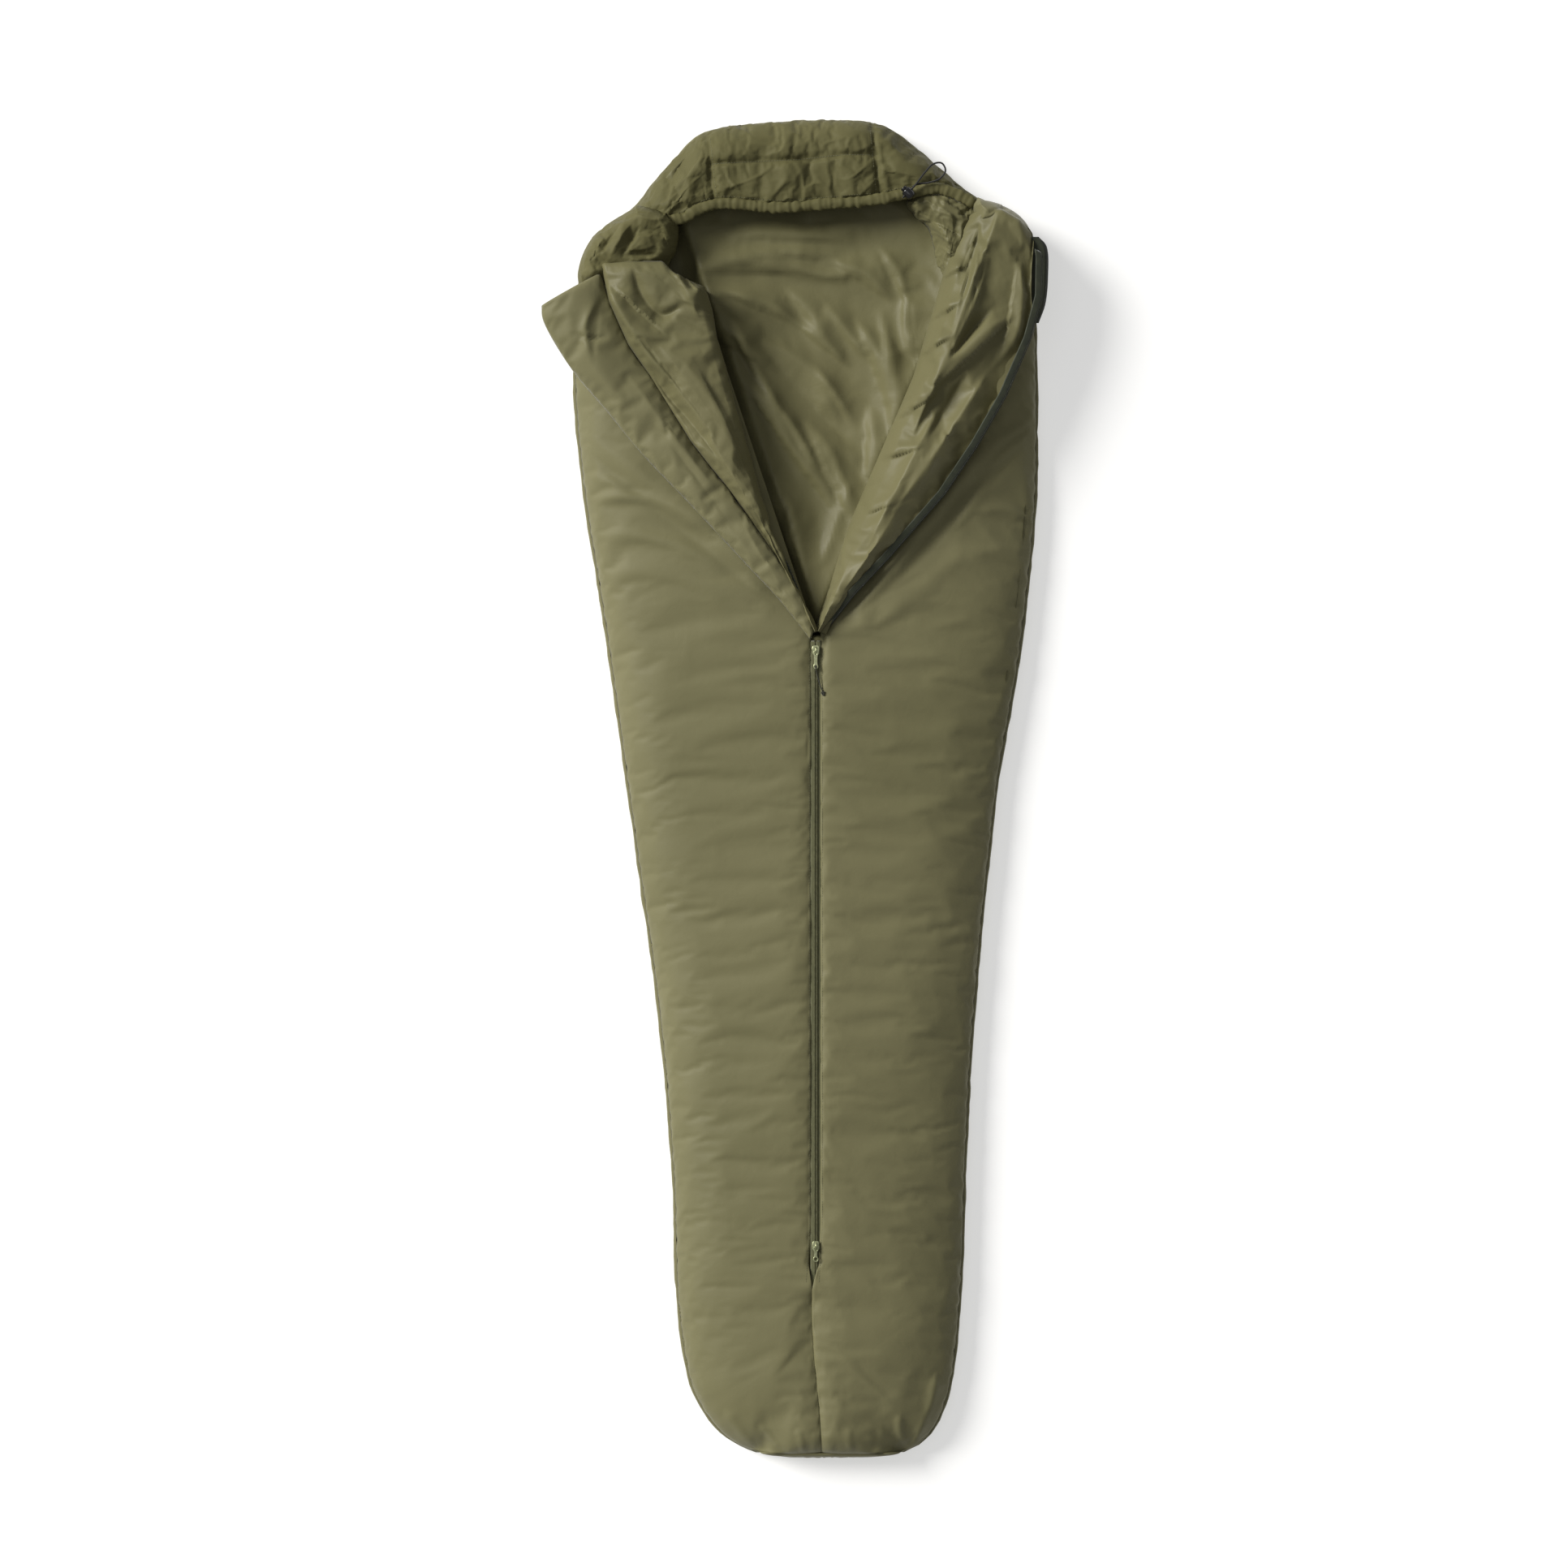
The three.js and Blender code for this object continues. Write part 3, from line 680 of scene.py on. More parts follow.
def lapel(name, fold, width_at, inner_at, roll, end_at, folds, top_z, seed, strength,
          rate=2.2, closing=26.0, fall=0.0):
    """A folded-out corner: a closed padded flap that rolls over the fold line and down into the sack."""
    rows = 230
    s = np.linspace(2, fold.length - 3, rows)
    width, inner = look_up(width_at, s), look_up(inner_at, s)
    base = inner + roll[-1][0]
    u, z, kind = lapel_section(width, inner, roll, top_z, rate)
    # It is thinner where it is narrow, and closes towards its end.
    inner = inner[:, None]
    thin = np.clip((width[:, None] - inner) / 60, 0.12, 1)
    z = np.where(z > 100, 100 + (z - 100) * (0.45 + 0.55 * thin), z)
    u = np.where(u > inner, u, inner + (u - inner) * (0.3 + 0.7 * thin))
    end = dome(np.clip((s[-1] - s) / closing, 0, 1))[:, None]
    z = np.where(z > 102, 102 + (z - 102) * (0.25 + 0.75 * end), z)
    cut = s[-1] - look_up(end_at, u)
    p = fold.at(s[:, None] - cut * smoothstep(s, s[-1] - 190, s[-1])[:, None], u)
    # Folds, and gathers at the roll, along the zip edge and at the end.
    s_grid = s[:, None] * np.ones_like(u)
    lift = np.zeros_like(z)
    add_folds(lift, crease, p, folds, high=strength)
    lift += 1.8 * crinkle(p, seed, 120) + 0.9 * crinkle(p, seed + 5, 46)
    lift += puckers(s_grid, np.abs(u - base[:, None] - 6), seed + 29, 1.7, 1.5)
    lift += puckers(s_grid, np.clip(width[:, None] - EDGE_BACK - u, 0, None), seed + 9, 1.0, 0.9)
    lift += puckers(u, np.clip(s[-1] - s_grid, 0, None), seed + 19, 1.3, 1.6)
    amount = kind[None, :] * smoothstep(s, 0, 60)[:, None]
    z = z + lift * amount - fall * np.clip(u / 130, 0, 1.1) ** 1.4 * (kind > 0.9)
    z = np.where(z > 128, 128 + 10 * np.tanh((z - 128) / 10), z)
    z += 1.1 * (1 + perlin(p[..., 0] / 34, p[..., 1] / 34, seed + 41)) * (z == UNDERSIDE_Z)
    top = np.dstack([p, z])
    n = u.shape[1]
    vertices = list(top.reshape(-1, 3))
    faces = grid_faces(rows, n, wrap=True, flip=fold.out[0] > 0)
    for row, turn in ((0, fold.out[0] > 0), (rows - 1, fold.out[0] < 0)):
        loop = list(range(row * n, row * n + n))
        centre = len(vertices)
        vertices.append(top[row].mean(axis=0))
        for a, b in zip(loop, loop[1:] + loop[:1]):
            faces.append((centre, a, b) if turn else (centre, b, a))
    # The face is free to swell, and with it the upper part of the roll.
    free = np.zeros((rows, n))
    free[4:-4] = np.where(kind[None, :] > 0.9, 1.0, 0.0)
    face = free[:, ROLL_COLUMNS + 8:ROLL_COLUMNS + 9]
    free[:, :ROLL_COLUMNS] = (kind[:ROLL_COLUMNS] > 0.5) * face
    pin = np.ones(len(vertices))
    pin[:rows * n] = 1 - free.reshape(-1)
    return mesh_object(name, vertices, faces), pin


LEFT_LAPEL_FOLDS = [
    ([(-345, 835), (-322, 790), (-285, 745), (-235, 735)], 17, 11),
    ([(-300, 862), (-285, 810), (-250, 775), (-205, 800)], 16, -7),
    ([(-330, 800), (-275, 715), (-215, 640), (-160, 570), (-105, 500)], 17, 9),
    ([(-300, 720), (-250, 655), (-190, 585), (-140, 520)], 13, -6),
    ([(-262, 735), (-215, 680), (-165, 610), (-120, 540)], 15, 8),
    ([(-238, 875), (-225, 840), (-205, 805), (-192, 770)], 12, 9),
    ([(-222, 850), (-205, 822), (-190, 812)], 9, -8),
    ([(-212, 800), (-196, 812), (-184, 822)], 8, 7),
    ([(-195, 700), (-150, 620), (-110, 540), (-75, 450)], 13, -5),
    ([(-215, 645), (-160, 560), (-110, 490), (-70, 420), (-35, 350)], 11, 6),
    ([(-240, 610), (-180, 530), (-120, 450)], 9, 5),
    ([(-120, 480), (-80, 410), (-45, 345)], 8, -3.5),
]
RIGHT_LAPEL_FOLDS = [
    ([(150, 700), (185, 730), (230, 745)], 13, 9),
    ([(165, 760), (205, 790), (245, 800)], 12, 8),
    ([(120, 600), (160, 640), (200, 650)], 13, 8),
    ([(105, 540), (140, 560), (180, 560)], 11, 6),
    ([(190, 830), (215, 850), (250, 860)], 11, 8),
    ([(75, 450), (105, 470), (140, 470)], 10, 5),
    ([(150, 560), (180, 640), (225, 730), (262, 810), (285, 880)], 16, 13),
    ([(188, 650), (232, 700), (285, 755), (330, 780)], 15, 12),
    ([(214, 720), (240, 790), (258, 850), (262, 905)], 11, 10),
    ([(205, 690), (245, 738), (290, 790)], 10, -9),
    ([(228, 820), (248, 860), (262, 900), (268, 935)], 9, -7),
    ([(300, 955), (288, 915), (270, 870), (252, 820)], 8, 6),
    ([(206, 640), (176, 580), (146, 520), (112, 450), (80, 390)], 16, 8),
    ([(292, 700), (252, 640), (208, 570), (160, 500), (120, 440)], 14, 8),
    ([(250, 690), (215, 630), (180, 570)], 11, -6),
    ([(330, 870), (336, 810), (328, 750), (300, 700)], 12, 8),
    ([(150, 480), (110, 420), (70, 360), (40, 315)], 10, 5),
]
# Along each fold line: how far out the zip edge lies, and how far out the face of the roll lies.
LEFT_WIDTH = [(0, 5), (60, 10), (174, 34), (261, 60), (363, 96), (486, 125), (540, 142), (613, 150), (672, 141)]
RIGHT_WIDTH = [(0, 2), (80, 26), (153, 55), (286, 102), (380, 122), (472, 135), (573, 138), (642, 130),
               (700, 108), (735, 88)]
LEFT_INNER = [(0, -2), (90, 10), (190, 20), (290, 19), (400, 14), (520, 8), (672, 2)]
RIGHT_INNER = [(0, 0), (120, 4), (300, 10), (450, 14), (560, 4), (640, -4), (735, 0)]
# Across each lapel: where along the fold line it ends.
LEFT_END = [(-12, 588), (0, 600), (32, 630), (44, 655), (100, 674), (140, 684), (150, 678), (158, 664)]
RIGHT_END = [(-60, 690), (-16, 738), (-6, 748), (22, 754), (54, 750), (80, 738), (104, 700), (120, 690)]
# The section of each roll, as (distance out, height) up to the face.
LEFT_ROLL = [(4, 60), (-3, 64), (-8, 78), (-10, 96), (-7, 112), (3, 121)]
RIGHT_ROLL = [(6, 52), (-12, 48), (-24, 52), (-27, 68), (-22, 88), (-8, 106)]
left_lapel, pin_left_lapel = lapel(
    "left_lapel_panel", LEFT, LEFT_WIDTH, LEFT_INNER, LEFT_ROLL, LEFT_END, LEFT_LAPEL_FOLDS, 123, 301, 1.9)
right_lapel, pin_right_lapel = lapel(
    "right_lapel_panel", RIGHT, RIGHT_WIDTH, RIGHT_INNER, RIGHT_ROLL, RIGHT_END, RIGHT_LAPEL_FOLDS, 122, 351,
    1.7, rate=1.35, closing=14.0, fall=17.0)


FLAP_FOLDS = [
    ([(-430, 780), (-395, 735), (-352, 680), (-300, 620)], 14, 5),
    ([(-345, 815), (-375, 760), (-362, 690)], 12, 6),
    ([(-398, 752), (-372, 738), (-330, 742)], 8, -6),
    ([(-318, 705), (-262, 620), (-205, 545), (-150, 470)], 11, 5),
    ([(-120, 440), (-90, 385), (-55, 330)], 8, 3.5),
    ([(-250, 585), (-195, 510), (-135, 430)], 9, -4),
]
FLAP_Z = 106  # the edge of the flap, which lies on the lapel


def flap_panel():
    """The insulated draft flap beside the left lapel."""
    rows, cols = 170, 34
    inner = spline([(-3, 262), (-30, 326), (-84, 410), (-137, 484), (-203, 572), (-268, 676), (-301, 722),
                    (-332, 790), (-352, 846)], rows)
    outer = spline([(-9, 247), (-60, 312), (-118, 374), (-200, 462), (-284, 550), (-340, 618), (-400, 690),
                    (-446, 770), (-448, 792)], rows)
    p = between(inner, outer, spaced(cols, 0.5))
    d_in, s = to_line(p, inner)
    d_out, s_out = to_line(p, outer)
    wide = np.linalg.norm(inner - outer, axis=1)[:, None]
    f = np.clip(np.minimum(d_in, d_out) / np.maximum(0.42 * wide, 1), 0, 1)
    full = np.clip(wide / 60, 0.2, 1)
    closing = dome(np.clip(np.clip(s[-1].max() - s, 0, None) / 18, 0, 1))
    z = FLAP_Z + 17 * full * dome(f) * (0.15 + 0.85 * closing)
    z += (puckers(s, d_in, 401, 1.0, 1.1) * smoothstep(d_in, 0, 8) + puckers(s_out, d_out, 403, 1.0, 0.5)) * f
    z += (0.9 * crinkle(p, 405, 110) + 2.0 * perlin(p[..., 0] / 110, p[..., 1] / 80, 409)) * f
    add_folds(z, crease, p, FLAP_FOLDS, share=f)
    under = FLAP_Z - (4.5 - 1.5 * perlin(p[..., 0] / 40, p[..., 1] / 40, 411)) * full * f
    obj = pillow("draft_flap_panel", np.dstack([p, z])[:, ::-1], np.dstack([p, under])[:, ::-1])
    return obj, pinned(obj, border(rows, cols))


flap, pin_flap = flap_panel()


# ---------- hood
def hood_plan(rows, cols):
    """Plan points of the hood in rows from the hem to the crown, and its two seams."""
    share = np.array([0, 0.24, 0.72, 1.0])  # where its sides and its two seams lie in a row
    side_knots = [(-330, 935), (-178, 1084), (93, 1100), (322, 947)]
    v = spaced(rows, 0.5)[:, None]
    c = np.linspace(0, 1, cols)
    low_x = np.interp(c, share, [-236, -166, 104, 272])
    low_y = np.interp(low_x, HEM[:, 0], HEM[:, 1]) + 9
    crown = spline([(-330, 935), (-297, 961), (-268, 999), (-232, 1039), (-178, 1083), (-85, 1098), (96, 1098),
                    (140, 1077), (185, 1040), (233, 999), (270, 972), (322, 947)], 400)
    run = np.linspace(0, 1, len(crown))
    marks = [run[np.argmin(np.hypot(crown[:, 0] - x, crown[:, 1] - y))] for x, y in side_knots]
    where = np.interp(c, share, marks)
    high = np.stack([np.interp(where, run, crown[:, k]) for k in (0, 1)], axis=1)
    p = np.stack([low_x * (1 - v) + high[:, 0] * v, low_y * (1 - v) + high[:, 1] * v], axis=-1)
    return p, [p[:, int(np.argmin(np.abs(c - share[k])))] for k in (1, 2)]


def hood_panels():
    """The hood: three panels in one mesh, sewn together along two seams and quilted across the middle one."""
    rows, cols = 62, 190
    p, seams = hood_plan(rows, cols)
    d_crown, s_crown = to_line(p, CROWN)
    d_hem, s_hem = to_line(p, HEM + [0, 9])
    t = np.clip(d_crown / 62, 0, 1)
    z = 30.2 + 63.8 * dome(t)
    z -= 9 * np.exp(-d_hem / 9)
    # The two seams, then the quilting line of the middle panel.
    for seed, line in zip((511, 512), seams):
        d, s = to_line(p, line)
        z -= 8.5 * np.exp(-((d / 7.5) ** 1.3)) * np.clip(t, 0.3, 1)
        z += puckers(s, d, seed, 1.1, 0.9) * smoothstep(d, 0, 5) * np.clip(t * 1.5, 0, 1)
    quilt = spline([(-172, 1026), (-110, 1029), (-30, 1033), (40, 1040), (98, 1041)], 60)
    d_quilt, s_quilt = to_line(p, quilt)
    centre = ((p[..., 0] > -180) & (p[..., 0] < 102)).astype(float)
    z -= 6.5 * np.exp(-((d_quilt / 6.5) ** 1.3)) * centre
    z += puckers(s_quilt, d_quilt, 530, 1.5, 2.0) * smoothstep(d_quilt, 0, 6) * centre
    z += puckers(s_hem, d_hem, 540, 1.1, 1.2) * smoothstep(d_hem, 0, 5)
    z += puckers(s_crown, d_crown, 550, 1.2, 0.8) * smoothstep(d_crown, 0, 8)
    z += 2.4 * crinkle(p, 560, 70) * t * (0.5 + 0.8 * centre)
    z += 2.0 * perlin(p[..., 0] / 80, p[..., 1] / 60, 570) * t
    # The outer edge is pushed out a little and scalloped.
    away = p - np.array([0.0, 900.0])
    push = away / np.linalg.norm(away, axis=-1)[..., None]
    out = np.exp(-d_crown / 9)
    plan = p + push * (out * (1.0 + 1.4 * perlin(s_crown / SCALLOP, s_crown * 0, 580)))[..., None]
    under = np.dstack([p, np.minimum(z - 6, 34 + 27 * smoothstep(d_crown, 4, 40))])
    obj = pillow("hood_panels", np.dstack([plan, z]), under)
    grid = border(rows, cols)
    grid[d_quilt * np.where(centre > 0, 1, 99) < 2.2] = 1
    for line in seams:
        grid[to_line(p, line)[0] < 1.5] = 1
    return obj, pinned(obj, grid), seams, quilt


hood, pin_hood, hood_seams, quilt_line = hood_panels()


def gathered_tube(name, line, z, half_width, half_height, seed, amount, sides=20, step=2.0):
    """A soft casing, gathered so that it wrinkles round and round."""
    line = spline(line, int(length_of(line) / step))
    run = headings(line)
    side = np.stack([run[:, 1], -run[:, 0]], axis=1)
    s = np.arange(len(line)) * step
    angle = np.linspace(0, 2 * np.pi, sides, endpoint=False)
    around, along = np.meshgrid(angle, s)
    fine = 0.13 * perlin(along / 7, np.sin(around) * 0.8 + 4, seed)
    swell = 1 + amount * (fine + 0.10 * perlin(along / 15, np.cos(around), seed + 1))
    ends = dome(np.clip(np.minimum(s, s[-1] - s) / 7, 0.02, 1))[:, None]
    heights = np.atleast_1d(z)
    level = np.interp(np.linspace(0, 1, len(line)), np.linspace(0, 1, len(heights)), heights)[:, None]
    x = line[:, None, 0] + side[:, None, 0] * np.cos(around) * half_width * swell * ends
    y = line[:, None, 1] + side[:, None, 1] * np.cos(around) * half_width * swell * ends
    h = level + np.sin(around) * half_height * swell * ends
    return ringed(name, np.stack([x, y, h], axis=-1).reshape(-1, 3), sides, flip=True)


hem_z = np.interp(np.linspace(0, 1, 9), [0, 0.1, 0.5, 0.85, 1], [88, 87, 86, 88, 86])
hem = gathered_tube("hood_hem", HEM + [0, 2], hem_z, 9.2, 5.5, 600, 2.0)


# ---------- shoulders and neck
def lump(name, outline, low, high, seed, gather, folds, under=None, rows=70, cols=70, edge=26.0, size=38.0):
    """A gathered padded piece over a plan outline of two matching sides, left and right, from foot to head.

    low has the heights of its two sides and high that of its crown. Where under is given, as the y of a line
    at some x, the piece stays low on the foot side of that line, because the front lies over it.
    """
    left, right = (spline(side, rows) for side in outline)
    u = spaced(cols, 0.5)
    p = between(left, right, u)
    d, s = to_line(p, np.vstack([left, right[::-1], left[:1]]))
    f = np.clip(d / edge, 0, 1)
    base = low[0] * (1 - u) + low[1] * u
    z = base + (high - base) * dome(f)
    z += gather * (puckers(s, d, seed, 1.3, 1.5) * smoothstep(d, 0, 8) + 3.0 * crinkle(p, seed + 3, size)) * f
    add_folds(z, crease, p, folds, share=f)
    if under is not None:
        covered = smoothstep(look_up(under, p[..., 0]) - p[..., 1], -10, 14)
        z = np.where(z > 84, z + (84 - z) * covered, z)
    below = base - 0.35 * (base - 28) * f
    obj = pillow(name, np.dstack([p, z]), np.dstack([p, below]))
    return obj, pinned(obj, border(rows, cols))


collar_left, pin_collar_left = lump(
    "collar_left_gathers",
    ([(-372, 806), (-389, 838), (-374, 893), (-346, 926), (-318, 945), (-296, 962)],
     [(-250, 838), (-238, 868), (-229, 892), (-226, 912), (-228, 932), (-244, 950)]),
    (30, 58), 110, 640, 1.0,
    [([(-378, 850), (-362, 888), (-338, 918)], 12, 7), ([(-352, 872), (-340, 900), (-318, 928)], 6, -11),
     ([(-338, 866), (-322, 896), (-300, 926)], 7, 9), ([(-318, 868), (-304, 896), (-286, 922)], 6, -10),
     ([(-322, 884), (-290, 892), (-262, 880)], 11, 7), ([(-262, 936), (-240, 905), (-236, 876)], 8, 7),
     ([(-318, 874), (-285, 876), (-255, 874)], 4.5, -7), ([(-300, 945), (-272, 930), (-240, 935)], 7, 6),
     ([(-296, 905), (-276, 915), (-256, 908)], 5, -6)],
    under=[(-420, 815), (-389, 832), (-249, 869), (-200, 880)])
collar_right, pin_collar_right = lump(
    "collar_right_shoulder",
    ([(262, 925), (258, 945), (256, 960), (266, 974)], [(358, 890), (353, 918), (336, 942), (305, 961)]),
    (58, 31), 116, 660, 0.7,
    [([(270, 930), (295, 940), (308, 956)], 6, -5), ([(330, 900), (330, 925), (322, 945)], 8, 4)],
    rows=40, cols=50, edge=24)
neck, pin_neck = lump(
    "neck_baffle_gathers",
    ([(212, 838), (197, 872), (192, 902), (184, 926), (160, 948), (150, 968), (172, 984)],
     [(222, 836), (240, 868), (252, 900), (268, 930), (272, 950), (258, 966), (216, 986)]),
    (40, 56), 84, 680, 1.1,
    [([(165, 962), (205, 945), (250, 930)], 8, 6), ([(165, 944), (200, 928), (238, 905)], 4, -8),
     ([(170, 930), (205, 905), (242, 890)], 7, 6), ([(185, 978), (220, 962), (252, 938)], 5, -6),
     ([(190, 900), (205, 885), (235, 875)], 6, 6)], edge=22, size=30)

# ---------- foot end
def foot_panel():
    """The panel that closes the foot end: a bulging rounded rectangle along the outline."""
    rows, cols = 26, 150
    middle_x, half_width, middle_z, half_height = 24.0, 119.0, 35.0, 32
    corner = 3.2  # the power that sets how square its corners are
    edge = np.vstack([LEFT_SIDE[:30][::-1], RIGHT_SIDE[:30]])
    vertices = []
    for k in range(rows):
        f = 1 - k / (rows - 1)
        bulge = math.sqrt(max(0, 1 - f ** corner))
        for angle in np.linspace(0, 2 * np.pi, cols, endpoint=False):
            sx, sz = math.cos(angle), math.sin(angle)
            reach = (abs(sx) ** corner + abs(sz) ** corner) ** (-1 / corner)
            wave = float(perlin(np.array(angle * 19.0), np.array(f * 2.5), 700))
            wrinkle = wave * 1.6 * math.sin(math.pi * f)
            x = middle_x + half_width * f * sx * reach * 0.995
            seam_y = float(np.interp(x, edge[:, 0], edge[:, 1]))
            vertices.append((x, seam_y + 1 - 9.0 * bulge - wrinkle, middle_z + half_height * f * sz * reach))
    faces = grid_faces(rows, cols, wrap=True)
    centre = len(vertices)
    vertices.append((middle_x, FOOT_Y + 3, middle_z))
    faces += [(centre, (j + 1) % cols, j) for j in range(cols)]
    last = (rows - 1) * cols
    faces.append(tuple(range(last, last + cols)))
    return mesh_object("foot_end", vertices, faces)


foot = foot_panel()


# ---------- padding: the sewn edges are pinned and the cloth swells
PADDING = [  # piece, pins, pressure, shrink, frames, cap, bending
    (front_left, pin_left, 0.5, -0.006, 9, 6, 0.5),
    (front_right, pin_right, 0.5, -0.006, 9, 6, 0.5),
    (lining, pin_lining, 0.2, -0.018, 10, 7, 4),
    (left_lapel, pin_left_lapel, 1.0, -0.012, 11, 9, 8),
    (right_lapel, pin_right_lapel, 1.0, -0.012, 11, 9, 8),
    (flap, pin_flap, 1.2, -0.012, 11, 7, 5),
    (hood, pin_hood, 2.0, -0.045, 12, 9, 0.5),
    (collar_left, pin_collar_left, 2.0, -0.06, 11, 9, 0.5),
    (collar_right, pin_collar_right, 1.6, -0.03, 10, 7, 0.5),
    (neck, pin_neck, 2.0, -0.09, 11, 8, 0.5),
]
for padded in PADDING:
    simulate(*padded)
thicken(lining, 0.8)


# ---------- zip, trims and hardware
def ribbon(name, left, right, thickness=0.8, crown=0.3):
    """A woven tape between two edges, given as matching rows of points."""
    t = np.linspace(0, 1, 7)
    top = between(left, right, t)
    top[..., 2] += crown * np.sin(math.pi * t)[None, :]
    under = top.copy()
    under[..., 2] -= thickness
    return pillow(name, top, under)


BAR_PROFILE = [(-1, 0), (-0.7, 0.7), (0, 1), (0.7, 0.7), (1, 0), (0.7, -0.7), (0, -1), (-0.7, -0.7)]
BAR_ENDS = ((-0.5, 0.55), (-0.38, 1.0), (0.38, 1.0), (0.5, 0.55))


def bars(name, centres, across, along, length, width, height):
    """A row of small rounded bars, one at each centre, each lying along across."""
    vertices, faces = [], []
    sides = len(BAR_PROFILE)
    for c, a, b in zip(centres, across, along):
        start = len(vertices)
        for end, size in BAR_ENDS:
            for i, k in BAR_PROFILE:
                vertices.append((c[0] + a[0] * end * length + b[0] * i * size * width / 2,
                                 c[1] + a[1] * end * length + b[1] * i * size * width / 2,
                                 c[2] + k * size * height / 2))
        faces += grid_faces(len(BAR_ENDS), sides, start, wrap=True)
        faces.append(tuple(range(start, start + sides))[::-1])
        faces.append(tuple(range(len(vertices) - sides, len(vertices))))
    return mesh_object(name, vertices, faces)


def plate(name, loops, low, high, bevel):
    """A flat metal piece with rounded edges, from an outline and its holes."""
    curve = bpy.data.curves.new(name, "CURVE")
    curve.dimensions = "2D"
    curve.fill_mode = "BOTH"
    curve.extrude = ((high - low) / 2 - bevel) * MM
    curve.bevel_depth = bevel * MM
    curve.bevel_resolution = 2
    curve.offset = -bevel * MM
    for loop in loops:
        path = curve.splines.new("POLY")
        path.points.add(len(loop) - 1)
        for point, (x, y) in zip(path.points, loop):
            point.co = (x * MM, y * MM, 0, 1)
        path.use_cyclic_u = True
    made = bpy.data.objects.new(name, curve)
    mesh = bpy.data.meshes.new_from_object(made)
    bpy.data.objects.remove(made)
    bpy.data.curves.remove(curve)
    mesh.transform(Matrix.Translation((0, 0, (low + high) / 2 * MM)))
    obj = link(bpy.data.objects.new(name, mesh))
    mesh.polygons.foreach_set("use_smooth", [True] * len(mesh.polygons))
    mesh.set_sharp_from_angle(angle=math.radians(40))
    return obj


def merge(name, *parts):
    """Several meshes as one piece."""
    bpy.ops.object.select_all(action="DESELECT")
    for part in parts:
        part.select_set(True)
    bpy.context.view_layer.objects.active = parts[0]
    bpy.ops.object.join()
    parts[0].name = parts[0].data.name = name
    return parts[0]


def ellipse(x, y, rx, ry):
    a = np.linspace(0, 2 * np.pi, 28, endpoint=False)
    return [(x + rx * math.cos(t), y + ry * math.sin(t)) for t in a]


def closed_spline(points, count):
    """About count points along a smooth loop through points."""
    p = np.array(points, float)
    n = len(p)
    line = spline(np.vstack([p[-2:], p, p[:3]]), 0)
    return line[SPAN * 2:SPAN * (2 + n)][::max(1, SPAN * n // count)].tolist()


TAPE_Z = 90.9  # the closed zip's tapes, and over them its teeth
TEETH_Z = 92.6
TAPE_POINTS = 300
tape_y = np.linspace(-815, 246, TAPE_POINTS)
tooth_y = np.arange(-806, 222, 1.5)
tapes, chains = [], []
for side, sign in (("left", -1), ("right", 1)):
    edges = [np.column_stack([np.full(TAPE_POINTS, sign * x), tape_y, np.full(TAPE_POINTS, TAPE_Z)])
             for x in (0.5, 8.6)]
    tapes.append(ribbon(f"zip_tape_{side}_woven", *edges[::sign], crown=0.15))
for side, sign, shift in (("left", -1, 0.0), ("right", 1, 0.75)):
    n = len(tooth_y)
    centres = np.column_stack([np.full(n, sign * 1.75), tooth_y + shift, np.full(n, TEETH_Z)])
    chains.append(bars(f"zip_teeth_{side}", centres, [(sign, 0.18)] * n, [(0, 1)] * n, 3.1, 1.1, 1.9))


def edge_line(fold, run, out, z):
    """Points along the zip edge of a lapel: run along its fold line, out from it, and z up."""
    return np.column_stack([fold.at(run, out), np.broadcast_to(z, len(run))])


def edge_teeth(name, fold, run, out, z):
    n = len(run)
    return bars(name, edge_line(fold, run, out, z), [fold.out] * n, [fold.along] * n, 3.0, 1.1, 2.0)


def near_v(run):
    """How much lower the right zip edge lies near the V."""
    return 17 * (1 - smoothstep(run, 0, 130))


run = np.linspace(4, 712, 240)
out = look_up(RIGHT_WIDTH, run)
tape_z = 117.5 - near_v(run)
right_tape = ribbon("right_zip_tape_upper", edge_line(RIGHT, run, out - 7.5, tape_z)[::-1],
                    edge_line(RIGHT, run, out + 4.5, tape_z - 3.5)[::-1], 0.9, 0.5)
run = np.arange(6, 708, 1.6)
out = look_up(RIGHT_WIDTH, run)
right_teeth = edge_teeth("right_zip_teeth_upper", RIGHT, run, out + 5.2, 113.2 - near_v(run))
run = np.linspace(70, 628, 200)
out = look_up(LEFT_WIDTH, run)
left_tape = ribbon("left_zip_tape_upper", edge_line(LEFT, run, np.maximum(out - 16, 0.3 * out), 100.9),
                   edge_line(LEFT, run, out - 3, 100.9), 0.9, 0.2)
run = np.arange(72, 626, 1.6)
left_teeth = edge_teeth("left_zip_teeth_upper", LEFT, run, look_up(LEFT_WIDTH, run) - 1.6, 100.6)
tab_in = [(330, 905, 104), (334, 880, 104), (334, 840, 104), (328, 800, 104), (322, 762, 104)]
tab_out = [(364, 905, 104), (377, 890, 102), (379.5, 840, 102), (375, 795, 103), (364, 764, 105)]
closure_tab = ribbon("closure_tab_woven", spline(tab_in, 50), spline(tab_out, 50), 2.6, 1.6)
closure_tab.data.flip_normals()
tube_line = np.array([(0, -852), (0, -400), (0, 0), (0, 256)], float)
draft_tube = gathered_tube("zip_draft_tube_padded", tube_line, 74.5, 19, 11, 720, 0.7, sides=16, step=5.0)


